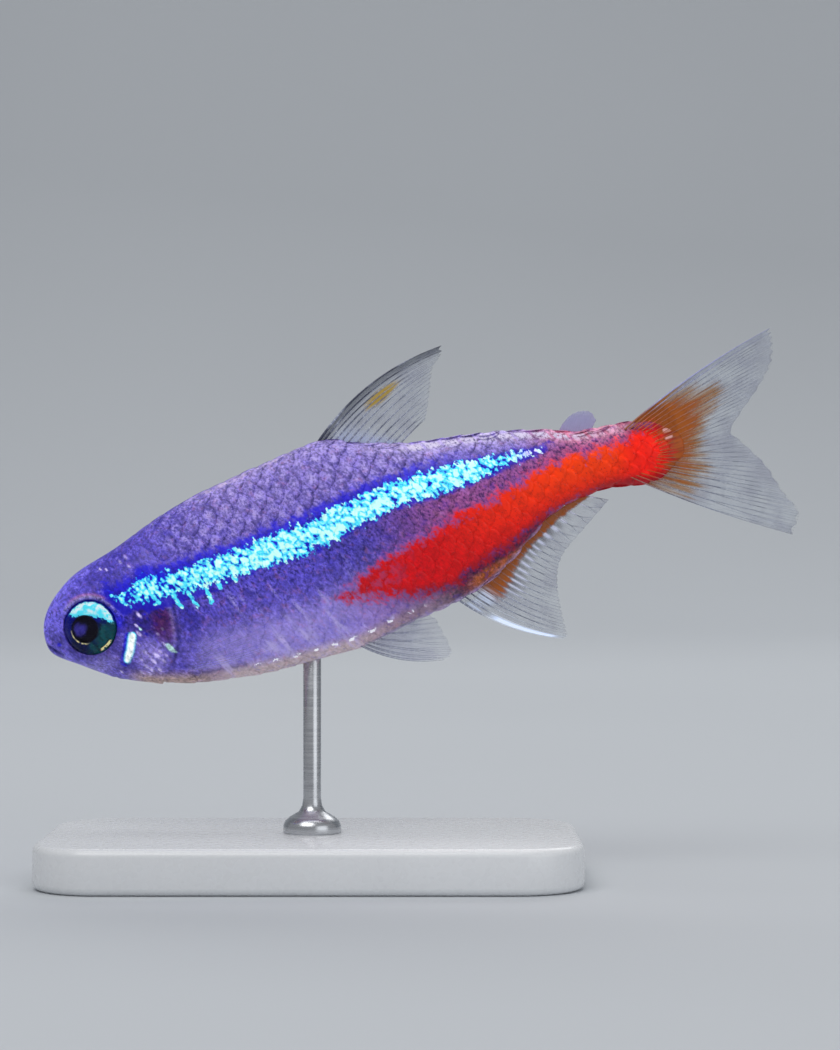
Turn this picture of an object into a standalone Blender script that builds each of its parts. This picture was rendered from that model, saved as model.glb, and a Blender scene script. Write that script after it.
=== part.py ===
"""Neon tetra: a still, life-size display model of the fish on a plain stand.

Metres, +Z up. The head points towards -X and the fish's left flank towards -Y. The origin is on the floor,
under the middle of the model's box. Outlines are given in millimetres in the fish's own frame: the first number
runs along the body from the snout, the second one up from the body axis.
"""

import math

import bmesh
import bpy
import numpy as np
from mathutils import Matrix, Vector

MM = 0.001

# Driving dimensions
NOSE_DOWN = math.radians(15.4)      # how far the body axis dips towards the head
BODY_START = -0.07                  # tip of the snout, mm along the body axis
BODY_END = 29.5                     # end of the flesh on the tail fin's base, mm
FIN_THICKNESS = 0.5 * MM
GAP = 0.25                          # clearance between neighbouring pieces, mm
SIDE_REACH = 6.0                    # how far the cuts seen from the side go out from the middle, mm
COVER_INNER = 1.15                  # inner face of the gill covers, mm from the middle
SNOUT_HEIGHT = 11.0 * MM            # height of the body axis at the snout above the floor
SNOUT_X = -16.94 * MM               # the snout's place, which centres the model over the origin

EYE_DIAMETER = 2.42
EYE_THICKNESS = 1.36
EYE_CENTRE = (2.17, 1.02, -0.33)    # along, sideways, up

BASE_LENGTH, BASE_WIDTH, BASE_HEIGHT = 24.0 * MM, 14.0 * MM, 2.0 * MM
BASE_CORNER = 3.0 * MM
ROD_RADIUS = 0.4 * MM
ROD_ALONG = 11.2                    # where the rod enters the belly, mm along the body axis
ROD_DEPTH = 1.0                     # how far it goes into the belly, mm
COLLAR_RADIUS, COLLAR_HEIGHT = 1.3 * MM, 0.8 * MM

STATIONS = 46
STATION_CROWDING = 1.45             # over 1 sets the stations closer together towards the snout
ROUND_STEPS = 32
ROD_STEPS = 28
SHARP_EDGE = math.radians(40)

# Body outlines from the side: the back, the belly, and the height of the widest point
BACK = (
    (-0.07, -0.40), (0.08, 0.42), (1.0, 1.54), (2.0, 2.17), (4.0, 2.79), (6.0, 3.54), (8.0, 4.10),
    (11.0, 4.60), (14.0, 4.98), (16.0, 4.40), (18.0, 3.85), (21.0, 3.45), (24.0, 2.80), (25.4, 2.34),
    (27.0, 2.20), (28.6, 1.98), (29.5, 1.35),
)
BELLY = (
    (-0.07, -0.40), (-0.03, -0.76), (1.0, -1.75), (3.0, -3.04), (4.3, -3.55), (7.0, -4.20), (10.0, -4.45),
    (13.0, -4.45), (16.0, -3.97), (18.0, -3.65), (20.0, -3.00), (22.0, -1.85), (23.2, -1.05), (24.5, -0.64),
    (26.0, -0.47), (28.3, -0.78), (29.5, -0.15),
)
WIDEST = ((-0.07, -0.40), (2.0, -0.35), (8.0, -0.30), (14.0, 0.10), (20.0, 0.35), (25.0, 0.85), (29.5, 0.62))
HALF_WIDTH = (
    (-0.07, 0.0), (0.0, 0.42), (0.5, 0.88), (1.2, 1.24), (2.2, 1.57), (4.0, 1.98), (6.5, 2.19), (9.5, 2.26),
    (13.0, 2.12), (17.0, 1.70), (21.0, 1.24), (25.0, 0.84), (27.5, 0.66), (28.8, 0.42), (29.5, 0.20),
)
BACK_FULLNESS = ((0.0, 2.3), (4.0, 2.2), (10.0, 2.0), (24.0, 1.95), (29.5, 2.0))
BELLY_FULLNESS = ((0.0, 2.1), (6.0, 2.15), (12.0, 2.2), (20.0, 1.9), (29.5, 2.0))

# Lines that part the body, seen from the side: each runs from above the back to below the belly
GILL_LINE = (
    (4.9, 7.0), (4.95, 3.2), (5.55, 1.3), (5.98, -0.3), (5.85, -1.7), (5.2, -2.9), (4.4, -3.7), (4.2, -7.0),
)
VENT_LINE = ((18.6, 7.0), (18.2, 0.0), (17.9, -7.0))
PEDUNCLE_LINE = ((25.2, 7.0), (25.8, 0.8), (25.4, -7.0))

# Closed outlines in the same view. SHARP marks a corner.
SHARP = "sharp"
JAW = (
    (-1.0, -0.42, SHARP), (0.0, -0.52), (0.72, -0.98, SHARP), (1.3, -1.75), (1.35, -2.8, SHARP),
    (-1.0, -2.8, SHARP),
)
COVER_FRONT = ((4.55, 1.2), (4.0, 0.5), (3.8, -0.3), (3.65, -1.3), (3.3, -2.3), (3.7, -3.0), (4.5, -3.35))
COVER_REAR = [(along - GAP / 2, height) for along, height in GILL_LINE[5:1:-1]]
GILL_COVER = (*COVER_FRONT, *COVER_REAR)
DORSAL_FIN = (
    (14.1, 4.6, SHARP), (14.1, 5.0), (16.0, 6.05), (18.0, 7.1), (19.4, 7.58), (20.4, 7.68, SHARP), (20.42, 7.4),
    (19.85, 6.9), (19.3, 5.6), (18.5, 4.6), (17.7, 3.95, SHARP), (17.4, 3.4, SHARP),
)
ADIPOSE_FIN = ((24.3, 2.3, SHARP), (24.75, 2.85), (25.6, 3.18), (26.25, 2.98), (26.3, 2.5), (25.9, 1.9, SHARP))
ANAL_FIN = (
    (18.2, -3.2, SHARP), (18.3, -3.7), (19.8, -5.1), (21.2, -5.98), (22.5, -6.45, SHARP), (22.85, -5.8),
    (22.55, -4.6), (22.75, -3.4), (24.0, -2.45), (25.2, -1.6), (25.95, -0.95), (25.75, -0.3, SHARP),
)
CAUDAL_FIN = (
    (27.6, 1.6, SHARP), (28.0, 2.2, SHARP), (29.2, 2.62), (31.0, 3.38), (33.0, 4.08), (34.4, 4.5),
    (34.96, 4.5, SHARP), (34.93, 3.9), (34.65, 2.9), (34.0, 2.1), (33.1, 1.65), (32.5, 1.05), (32.1, 0.6),
    (32.35, 0.1), (33.1, -0.85), (33.75, -2.1), (34.1, -3.3), (33.98, -4.3), (33.5, -4.7, SHARP), (31.8, -3.72),
    (30.0, -2.6), (28.6, -1.42), (27.5, -0.8, SHARP), (27.4, 0.2, SHARP),
)

# Paired fins in their own plane, mm: first along the front ray from its root, then across towards the rear rays
PECTORAL_FIN = (
    (-0.6, -0.15, SHARP), (0.4, -0.25), (2.4, -0.1), (4.0, 0.35), (4.35, 0.65), (3.9, 1.2), (2.6, 1.75),
    (1.2, 1.55), (0.0, 0.9), (-0.6, 0.75, SHARP),
)
PECTORAL_ROOT = (6.2, 1.45, -3.3)
PECTORAL_ALONG = (0.96, 0.27, -0.08)
PECTORAL_ACROSS = (0.1, 0.35, 0.93)
PELVIC_FIN = (
    (-0.9, 0.4, SHARP), (0.0, 0.0), (0.9, -0.27), (1.85, -0.35), (2.9, -0.2), (3.7, 0.02), (4.02, 0.35),
    (3.7, 0.95), (3.2, 1.5), (2.75, 1.95), (1.9, 1.75), (0.6, 1.2), (-0.8, 1.2, SHARP),
)
PELVIC_ROOT = (13.56, 0.5, -4.42)
PELVIC_ALONG = (0.905, 0.14, -0.40)
PELVIC_ACROSS = (0.40, -0.20, 0.905)


# Shape rules

def smooth_line(knots):
    """A function through the knots that turns only where they do: piecewise cubic, with no overshoot."""
    x, y = np.array(knots, float).T
    step = np.diff(x)
    slope = np.diff(y) / step
    tangent = np.empty(len(x))
    tangent[0], tangent[-1] = slope[0], slope[-1]
    for i in range(1, len(x) - 1):
        before, after = slope[i - 1], slope[i]
        if before * after <= 0:
            tangent[i] = 0.0
        else:
            w1, w2 = 2 * step[i] + step[i - 1], step[i] + 2 * step[i - 1]
            tangent[i] = (w1 + w2) / (w1 / before + w2 / after)

    def value(at):
        i = int(np.clip(np.searchsorted(x, at) - 1, 0, len(step) - 1))
        t = min(max((at - x[i]) / step[i], 0.0), 1.0)
        return ((1 + 2 * t) * (1 - t) ** 2 * y[i] + t * (1 - t) ** 2 * step[i] * tangent[i]
                + t * t * (3 - 2 * t) * y[i + 1] + t * t * (t - 1) * step[i] * tangent[i + 1])

    return value


def bluntly(knots):
    """The same, on the root of the distance from the snout, which rounds the snout off."""
    rooted = smooth_line([(math.sqrt(along - BODY_START), height) for along, height in knots])
    return lambda along: rooted(math.sqrt(max(along - BODY_START, 0.0)))


back, belly, half_width = bluntly(BACK), bluntly(BELLY), bluntly(HALF_WIDTH)
widest, back_fullness, belly_fullness = (smooth_line(k) for k in (WIDEST, BACK_FULLNESS, BELLY_FULLNESS))


def section(along, grow=0.0):
    """The closed ring of (sideways, up) points round the body at one station."""
    middle = widest(along)
    rise = back(along) - middle + grow
    drop = middle - belly(along) + grow
    width = half_width(along) + grow
    ring = []
    for step in range(ROUND_STEPS):
        angle = 2 * math.pi * step / ROUND_STEPS
        across, upward = math.cos(angle), math.sin(angle)
        fullness = back_fullness(along) if upward >= 0 else belly_fullness(along)
        reach = (abs(across) ** fullness + abs(upward) ** fullness) ** (-1 / fullness)
        ring.append((width * across * reach, middle + (rise if upward >= 0 else drop) * upward * reach))
    return ring


def body_mesh(name, grow=0.0):
    """The whole body as one closed loft. With grow it is larger all round by that many millimetres."""
    stretch = (BODY_END - BODY_START + 2 * grow) / (BODY_END - BODY_START)
    mesh = bmesh.new()

    def vert(along, side, height):
        place = BODY_START - grow + (along - BODY_START) * stretch
        return mesh.verts.new(Vector((place, side, height)) * MM)

    tip = vert(BODY_START, 0.0, widest(BODY_START))
    rings = []
    for i in range(1, STATIONS + 1):
        along = BODY_START + (BODY_END - BODY_START) * (i / STATIONS) ** STATION_CROWDING
        rings.append([vert(along, side, height) for side, height in section(along, grow)])
    last = vert(BODY_END, 0.0, widest(BODY_END))
    for i in range(ROUND_STEPS):
        j = (i + 1) % ROUND_STEPS
        mesh.faces.new((tip, rings[0][i], rings[0][j]))
        mesh.faces.new((last, rings[-1][j], rings[-1][i]))
        for front, rear in zip(rings, rings[1:]):
            mesh.faces.new((front[i], rear[i], rear[j], front[j]))
    bmesh.ops.recalc_face_normals(mesh, faces=mesh.faces)
    data = bpy.data.meshes.new(name)
    mesh.to_mesh(data)
    mesh.free()
    return data


# Objects, materials and cuts

def clear_scene():
    for obj in list(bpy.data.objects):
        bpy.data.objects.remove(obj)


def new_collection(name):
    collection = bpy.data.collections.new(name)
    bpy.context.scene.collection.children.link(collection)
    return collection


def material(name, colour, roughness, metallic=0.0, alpha=1.0):
    made = bpy.data.materials.new(name)
    made.use_nodes = True
    shader = made.node_tree.nodes["Principled BSDF"]
    shader.inputs["Base Color"].default_value = (*colour, 1.0)
    shader.inputs["Roughness"].default_value = roughness
    shader.inputs["Metallic"].default_value = metallic
    shader.inputs["Alpha"].default_value = alpha
    made.diffuse_color = (*colour, alpha)
    return made


def add(name, data, collection, parent=None, matrix=None):
    """A new object that is placed in its parent's frame."""
    obj = bpy.data.objects.new(name, data)
    collection.objects.link(obj)
    obj.parent = parent
    if matrix is not None:
        obj.matrix_local = matrix
    return obj


def finish(obj, finish_material):
    obj.data.materials.clear()
    obj.data.materials.append(finish_material)
    obj.data.shade_smooth()
    obj.data.set_sharp_from_angle(angle=SHARP_EDGE)
    return obj


def as_cutter(obj):
    obj.hide_render = True
    obj.display_type = "WIRE"
    return obj


def boolean(obj, other, operation="DIFFERENCE"):
    modifier = obj.modifiers.new(f"{operation.lower()} {other.name}", "BOOLEAN")
    modifier.operation = operation
    modifier.object = other
    modifier.solver = "EXACT"


def outline_solid(name, outline, thickness, collection, parent, matrix):
    """A closed outline in millimetres as a plate of that thickness, centred on its own plane."""
    curve = bpy.data.curves.new(name, "CURVE")
    curve.dimensions = "2D"
    curve.fill_mode = "BOTH"
    curve.extrude = thickness / 2
    curve.resolution_u = 4
    spline = curve.splines.new("BEZIER")
    spline.bezier_points.add(len(outline) - 1)
    spline.use_cyclic_u = True
    for point, place in zip(spline.bezier_points, outline):
        point.co = (place[0] * MM, place[1] * MM, 0.0)
        kind = "VECTOR" if place[-1] == SHARP else "AUTO"
        point.handle_left_type = point.handle_right_type = kind
    guide = add(f"{name}_outline", curve, collection, parent, matrix)
    bpy.context.view_layer.update()
    graph = bpy.context.evaluated_depsgraph_get()
    data = bpy.data.meshes.new_from_object(guide.evaluated_get(graph))
    welded = bmesh.new()
    welded.from_mesh(data)
    bmesh.ops.remove_doubles(welded, verts=welded.verts, dist=1e-6)
    bmesh.ops.recalc_face_normals(welded, faces=welded.faces)
    welded.to_mesh(data)
    welded.free()
    obj = add(name, data, collection, parent)
    obj.matrix_world = guide.matrix_world
    bpy.data.objects.remove(guide)
    return obj


SIDE_VIEW = Matrix.Rotation(math.radians(90), 4, "X")


def side_prism(name, outline, cutters, fish, near=-SIDE_REACH, far=SIDE_REACH):
    """A cutter with this outline in the side view, from near to far millimetres sideways."""
    matrix = Matrix.Translation((0.0, (near + far) / 2 * MM, 0.0)) @ SIDE_VIEW
    return as_cutter(outline_solid(name, outline, (far - near) * MM, cutters, fish, matrix))


def grown(outline, by):
    """The outline moved outwards by a distance. Its points run anticlockwise or clockwise."""
    points = np.array([place[:2] for place in outline], float)
    ahead, behind = np.roll(points, -1, axis=0), np.roll(points, 1, axis=0)
    turn = np.sign(np.sum(points[:, 0] * ahead[:, 1] - ahead[:, 0] * points[:, 1]))
    moved = []
    for point, nxt, last, place in zip(points, ahead, behind, outline):
        normals = []
        for direction in (nxt - point, point - last):
            direction = direction / np.linalg.norm(direction)
            normals.append(turn * np.array((direction[1], -direction[0])))
        bisector = normals[0] + normals[1]
        moved.append((*(point + by * 2 * bisector / (bisector @ bisector)), *place[2:]))
    return moved


def stretch_between(front_line, rear_line, gap):
    """A closed outline from one parting line, set back by half the gap, to the next one."""
    front = [(along + gap / 2, height) for along, height in front_line]
    rear = [(along - gap / 2, height) for along, height in rear_line]
    corners = [front[0], *front[1:-1], front[-1], rear[-1], *rear[-2:0:-1], rear[0]]
    ends = {0, len(front) - 1, len(front), len(corners) - 1}
    return [(*place, SHARP) if i in ends else place for i, place in enumerate(corners)]


def upright_line(along):
    return ((along, 7.0), (along, -7.0))


BEFORE_SNOUT, BEHIND_FLESH = upright_line(-3.0), upright_line(32.0)


# Sub-parts of the fish

def make_body(parts, cutters, fish, flesh):
    """Head, lower jaw, gill covers, trunk, tail and caudal peduncle, parted from one loft by thin cuts."""
    whole = body_mesh("body")

    def piece(name, outline, near=-SIDE_REACH, far=SIDE_REACH):
        obj = add(name, whole.copy(), parts, fish)
        boolean(obj, side_prism(f"{name}_region", outline, cutters, fish, near, far), "INTERSECT")
        return finish(obj, flesh)

    head = piece("head", stretch_between(BEFORE_SNOUT, GILL_LINE, GAP))
    trunk = piece("trunk", stretch_between(GILL_LINE, VENT_LINE, GAP))
    piece("tail", stretch_between(VENT_LINE, PEDUNCLE_LINE, GAP))
    piece("caudal_peduncle", stretch_between(PEDUNCLE_LINE, BEHIND_FLESH, GAP))
    piece("lower_jaw", JAW)
    boolean(head, side_prism("jaw_room", grown(JAW, GAP), cutters, fish))

    for side, sign in (("left", -1), ("right", 1)):
        near, far = sorted((sign * COVER_INNER, sign * SIDE_REACH))
        piece(f"gill_cover_{side}", GILL_COVER, near, far)
        near, far = sorted((sign * (COVER_INNER - GAP), sign * (SIDE_REACH + 1.0)))
        boolean(head, side_prism(f"gill_room_{side}", grown(GILL_COVER, GAP), cutters, fish, near, far))
    return head, trunk


def make_eyes(parts, cutters, fish, head, eye_material):
    """Two oblate eyeballs, each in its own socket in the head."""
    for side, sign in (("left", -1), ("right", 1)):
        along, out, height = EYE_CENTRE
        place = Matrix.Translation(Vector((along, sign * out, height)) * MM)
        for name, spare, collection in ((f"eye_{side}", 0.0, parts), (f"socket_{side}", GAP, cutters)):
            radius, depth = EYE_DIAMETER / 2 + spare, EYE_THICKNESS / 2 + spare
            ball = bmesh.new()
            bmesh.ops.create_uvsphere(ball, u_segments=28, v_segments=14, radius=MM)
            # The ball's poles face sideways.
            bmesh.ops.transform(ball, matrix=SIDE_VIEW, verts=ball.verts)
            bmesh.ops.scale(ball, vec=(radius, depth, radius), verts=ball.verts)
            data = bpy.data.meshes.new(name)
            ball.to_mesh(data)
            ball.free()
            obj = add(name, data, collection, fish, place)
            if spare:
                boolean(head, as_cutter(obj))
            else:
                finish(obj, eye_material)


def make_fins(parts, cutters, fish, membrane):
    """Fins as thin plates that stop just short of the body."""
    clear_body = as_cutter(add("body_clearance", body_mesh("body_clearance", GAP), cutters, fish))
    middle_fins = {
        "dorsal_fin": DORSAL_FIN,
        "adipose_fin": ADIPOSE_FIN,
        "anal_fin": ANAL_FIN,
        "caudal_fin": CAUDAL_FIN,
    }
    made = [
        outline_solid(name, outline, FIN_THICKNESS, parts, fish, SIDE_VIEW)
        for name, outline in middle_fins.items()
    ]
    paired_fins = {
        "pectoral_fin": (PECTORAL_FIN, PECTORAL_ROOT, PECTORAL_ALONG, PECTORAL_ACROSS),
        "pelvic_fin": (PELVIC_FIN, PELVIC_ROOT, PELVIC_ALONG, PELVIC_ACROSS),
    }
    for name, (outline, root, along, across) in paired_fins.items():
        for side, sign in (("left", -1), ("right", 1)):
            mirror = Vector((1.0, sign, 1.0))
            first = (Vector(along) * mirror).normalized()
            second = Vector(across) * mirror
            second = (second - first * second.dot(first)).normalized()
            turn = Matrix((first, second, first.cross(second))).transposed().to_4x4()
            place = Matrix.Translation(Vector(root) * mirror * MM) @ turn
            made.append(outline_solid(f"{name}_{side}", outline, FIN_THICKNESS, parts, fish, place))
    for fin in made:
        boolean(fin, clear_body)
        finish(fin, membrane)


# The stand

def world_of(along, height):
    """World place of a point on the fish's middle plane, given in its own frame in millimetres."""
    turn = Matrix.Rotation(-NOSE_DOWN, 3, "Y")
    return Vector((SNOUT_X, 0.0, SNOUT_HEIGHT)) + turn @ Vector((along, 0.0, height)) * MM


def cylinder(name, radius, bottom, top, x, collection):
    made = bmesh.new()
    bmesh.ops.create_cone(
        made, cap_ends=True, segments=ROD_STEPS, radius1=radius, radius2=radius, depth=top - bottom
    )
    data = bpy.data.meshes.new(name)
    made.to_mesh(data)
    made.free()
    obj = add(name, data, collection)
    obj.location = (x, 0.0, (bottom + top) / 2)
    return obj


def make_stand(parts, cutters, trunk, base_material, rod_material):
    """A flat base with rounded corners, and one turned rod with a collar that goes up into the belly."""
    entry = world_of(ROD_ALONG, belly(ROD_ALONG))
    rod_top = entry.z + ROD_DEPTH * MM
    rod_foot = BASE_HEIGHT * 0.4

    plate = bmesh.new()
    bmesh.ops.create_cube(plate, size=1.0)
    bmesh.ops.scale(plate, vec=(BASE_LENGTH, BASE_WIDTH, BASE_HEIGHT), verts=plate.verts)
    upright = [e for e in plate.edges if abs(e.verts[0].co.z - e.verts[1].co.z) > BASE_HEIGHT / 2]
    bmesh.ops.bevel(plate, geom=upright, offset=BASE_CORNER, segments=8, profile=0.5, affect="EDGES")
    rim = [e for e in plate.edges if all(v.co.z > 0 for v in e.verts) and len(e.link_faces) == 2]
    bmesh.ops.bevel(plate, geom=rim, offset=0.3 * MM, segments=2, profile=0.5, affect="EDGES")
    data = bpy.data.meshes.new("stand_base")
    plate.to_mesh(data)
    plate.free()
    base = add("stand_base", data, parts)
    base.location = (entry.x, 0.0, BASE_HEIGHT / 2)
    room = ROD_RADIUS + GAP * MM
    hole = cylinder("base_hole", room, rod_foot - GAP * MM, BASE_HEIGHT * 2, entry.x, cutters)
    boolean(base, as_cutter(hole))
    finish(base, base_material)

    seat = BASE_HEIGHT + GAP * MM
    profile = (
        (0.0, rod_top), (ROD_RADIUS, rod_top), (ROD_RADIUS, seat + COLLAR_HEIGHT * 1.6),
        (ROD_RADIUS * 1.5, seat + COLLAR_HEIGHT), (COLLAR_RADIUS - 0.2 * MM, seat + COLLAR_HEIGHT * 0.6),
        (COLLAR_RADIUS, seat + COLLAR_HEIGHT * 0.35), (COLLAR_RADIUS, seat), (ROD_RADIUS, seat),
        (ROD_RADIUS, rod_foot), (0.0, rod_foot),
    )
    data = bpy.data.meshes.new("stand_rod")
    data.from_pydata([(x, 0.0, z) for x, z in profile], [(i, i + 1) for i in range(len(profile) - 1)], [])
    rod = add("stand_rod", data, parts)
    rod.location = (entry.x, 0.0, 0.0)
    screw = rod.modifiers.new("turned", "SCREW")
    screw.axis = "Z"
    screw.angle = 2 * math.pi
    screw.steps = screw.render_steps = ROD_STEPS
    screw.use_merge_vertices = True
    screw.merge_threshold = 1e-6
    finish(rod, rod_material)
    socket = cylinder("rod_socket", room, 0.0, rod_top + GAP * MM, entry.x, cutters)
    boolean(trunk, as_cutter(socket))


def main():
    clear_scene()
    parts = new_collection("neon_tetra")
    cutters = new_collection("cutters")
    fish = add("fish_axis", None, parts)
    fish.location = (SNOUT_X, 0.0, SNOUT_HEIGHT)
    fish.rotation_euler = (0.0, -NOSE_DOWN, 0.0)
    bpy.context.view_layer.update()

    flesh = material("scaled_skin", (0.16, 0.13, 0.42), 0.35)
    eye = material("eye", (0.02, 0.10, 0.16), 0.08)
    membrane = material("fin_membrane", (0.42, 0.46, 0.36), 0.3, alpha=0.45)
    acrylic = material("stand_acrylic", (0.80, 0.81, 0.82), 0.25)
    steel = material("stand_steel", (0.60, 0.60, 0.61), 0.28, metallic=1.0)

    head, trunk = make_body(parts, cutters, fish, flesh)
    make_eyes(parts, cutters, fish, head, eye)
    make_fins(parts, cutters, fish, membrane)
    make_stand(parts, cutters, trunk, acrylic, steel)


main()
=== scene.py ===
"""The looks of the neon tetra display model: skin, scales, eyes, fins, stand and studio.

Shapes are worked out in the fish's own frame, in millimetres: along the body from the snout, sideways from the
middle plane (the left flank is negative), and up from the body axis. to_model turns them into the model's metres.
"""

import math

import bmesh
import bpy
import numpy as np
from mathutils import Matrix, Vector


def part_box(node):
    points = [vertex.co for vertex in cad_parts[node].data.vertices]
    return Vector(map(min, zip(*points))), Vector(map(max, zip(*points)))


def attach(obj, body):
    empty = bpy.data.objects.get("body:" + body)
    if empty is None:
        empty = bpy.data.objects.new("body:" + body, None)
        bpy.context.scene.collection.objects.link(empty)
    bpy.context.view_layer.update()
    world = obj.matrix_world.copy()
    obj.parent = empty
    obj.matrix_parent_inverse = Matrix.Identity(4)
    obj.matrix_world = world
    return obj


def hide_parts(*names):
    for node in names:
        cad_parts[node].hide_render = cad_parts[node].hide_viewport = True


bl_info = {
    "name": "Neon Tetra Display Model",
    "version": (1, 0, 0),
    "blender": (4, 5, 0),
    "location": "3D View > Sidebar > Tetra",
    "description": "Skin, scales, eyes, fins, stand and studio of a life-size neon tetra",
    "category": "Object",
}

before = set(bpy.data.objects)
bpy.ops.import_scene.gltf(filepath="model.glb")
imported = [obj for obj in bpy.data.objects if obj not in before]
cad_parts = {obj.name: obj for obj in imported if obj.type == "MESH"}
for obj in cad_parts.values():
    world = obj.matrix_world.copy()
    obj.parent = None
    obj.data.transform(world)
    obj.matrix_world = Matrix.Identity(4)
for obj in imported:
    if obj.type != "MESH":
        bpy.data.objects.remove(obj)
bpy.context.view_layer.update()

MM = 0.001
NOSE_DOWN = math.radians(15.4)
SNOUT_X, SNOUT_HEIGHT = -16.94, 11.0
BODY_START, BODY_END = -0.07, 29.5

# The body's outlines, as in the solids
BACK = (
    (-0.07, -0.40), (0.08, 0.42), (1.0, 1.54), (2.0, 2.17), (4.0, 2.79), (6.0, 3.54), (8.0, 4.10),
    (11.0, 4.60), (14.0, 4.98), (16.0, 4.40), (18.0, 3.85), (21.0, 3.45), (24.0, 2.80), (25.4, 2.34),
    (27.0, 2.20), (28.6, 1.98), (29.5, 1.35),
)
BELLY = (
    (-0.07, -0.40), (-0.03, -0.76), (1.0, -1.75), (3.0, -3.04), (4.3, -3.55), (7.0, -4.20), (10.0, -4.45),
    (13.0, -4.45), (16.0, -3.97), (18.0, -3.65), (20.0, -3.00), (22.0, -1.85), (23.2, -1.05), (24.5, -0.64),
    (26.0, -0.47), (28.3, -0.78), (29.5, -0.15),
)
WIDEST = ((-0.07, -0.40), (2.0, -0.35), (8.0, -0.30), (14.0, 0.10), (20.0, 0.35), (25.0, 0.85), (29.5, 0.62))
HALF_WIDTH = (
    (-0.07, 0.0), (0.0, 0.42), (0.5, 0.88), (1.2, 1.24), (2.2, 1.57), (4.0, 1.98), (6.5, 2.19), (9.5, 2.26),
    (13.0, 2.12), (17.0, 1.70), (21.0, 1.24), (25.0, 0.84), (27.5, 0.66), (28.8, 0.42), (29.5, 0.20),
)
BACK_FULLNESS = ((0.0, 2.3), (4.0, 2.2), (10.0, 2.0), (24.0, 1.95), (29.5, 2.0))
BELLY_FULLNESS = ((0.0, 2.1), (6.0, 2.15), (12.0, 2.2), (20.0, 1.9), (29.5, 2.0))

# Head features in the side view
GILL_EDGE = ((-3.7, 4.4), (-2.9, 5.2), (-1.7, 5.85), (-0.3, 5.98), (1.3, 5.55), (3.2, 4.95))  # up, along
CHEEK_LINE = ((4.15, 0.9), (4.0, 0.2), (3.85, -0.6), (3.72, -1.4), (3.35, -2.3), (2.6, -2.75))
MOUTH_LINE = ((-0.3, -0.50), (0.05, -0.66), (0.35, -1.00), (0.58, -1.22))
LIP_FOLD = ((0.45, -0.25), (0.80, -0.75), (1.05, -1.40))

# Fins: the rays from front to rear, each as its share, root along and up, tip along and up, and bow
DORSAL_RAYS = (
    (0.0, 14.12, 4.92, 20.54, 7.66, 0.085), (0.1, 14.4, 4.9, 20.5, 7.42, 0.075), (0.25, 14.78, 4.8, 20.29, 7.16, 0.06),
    (0.45, 15.45, 4.62, 19.9, 6.8, 0.045), (0.65, 16.33, 4.37, 19.61, 6.08, 0.03),
    (0.85, 17.15, 4.12, 19.23, 5.17, 0.02), (1.0, 17.63, 3.92, 18.96, 4.65, 0.02),
)
ANAL_RAYS = (
    (0.0, 18.36, -3.55, 22.37, -6.46, -0.07), (0.06, 18.77, -3.5, 22.53, -6.42, -0.06),
    (0.15, 19.23, -3.3, 22.56, -6.15, -0.05), (0.3, 20.02, -2.95, 22.6, -5.23, -0.05),
    (0.45, 20.79, -2.55, 22.69, -4.29, -0.05), (0.6, 21.65, -1.98, 22.94, -3.39, -0.05),
    (0.72, 22.32, -1.66, 23.38, -2.76, -0.05), (0.85, 23.48, -1.12, 24.37, -2.07, -0.04),
    (1.0, 25.1, -0.6, 25.95, -1.0, 0.0),
)
TAIL_RAYS = (
    (0.0, 28.3, 2.15, 34.95, 4.5, 0.03), (0.12, 28.8, 2.0, 34.94, 3.98, 0.02), (0.25, 29.2, 1.66, 34.61, 3.01, 0.01),
    (0.38, 29.5, 1.15, 33.65, 1.99, 0.0), (0.48, 29.6, 0.74, 32.57, 1.08, 0.0), (0.53, 29.6, 0.5, 32.05, 0.52, 0.0),
    (0.58, 29.55, 0.3, 32.35, 0.02, 0.0), (0.68, 29.25, 0.0, 33.13, -1.26, 0.0),
    (0.8, 28.84, -0.36, 33.62, -2.76, 0.0), (0.9, 28.35, -0.6, 34.02, -3.78, -0.01),
    (1.0, 27.75, -0.68, 33.48, -4.68, -0.02),
)
ADIPOSE_RAYS = (
    (0.0, 24.45, 2.4, 24.85, 2.84, 0.0), (0.3, 24.8, 2.3, 25.3, 3.12, 0.0), (0.6, 25.2, 2.2, 25.85, 3.17, 0.0),
    (0.85, 25.6, 2.1, 26.25, 2.96, 0.0), (1.0, 25.85, 2.05, 26.35, 2.6, 0.0),
)
PECTORAL_RAYS = (
    (0.0, -0.35, -0.08, 4.1, 0.4, -0.03), (0.3, -0.3, 0.2, 4.35, 0.68, -0.02), (0.6, -0.3, 0.45, 3.6, 1.35, 0.0),
    (0.85, -0.3, 0.6, 2.3, 1.72, 0.0), (1.0, -0.3, 0.7, 1.2, 1.5, 0.0),
)
PELVIC_RAYS = (
    (0.0, 0.0, 0.05, 3.72, 0.0, -0.08), (0.25, -0.05, 0.3, 4.02, 0.35, -0.05), (0.55, -0.15, 0.6, 3.45, 1.25, -0.02),
    (0.8, -0.25, 0.85, 2.85, 1.85, 0.0), (1.0, -0.35, 1.05, 1.95, 1.75, 0.0),
)

NOSTRILS = ((0.55, 0.42, 0.075), (0.80, 0.52, 0.09))
EYE_CENTRE = (2.17, -0.33)
EYE_SEAT = 1.40  # how far from the middle the eye's rim sits, mm
EYE_TURN = math.radians(15.0)  # how far the eye faces forwards
BARE_DEPTH = 0.012  # how far the skin lies in on the head, where it has no scales, mm

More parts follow.
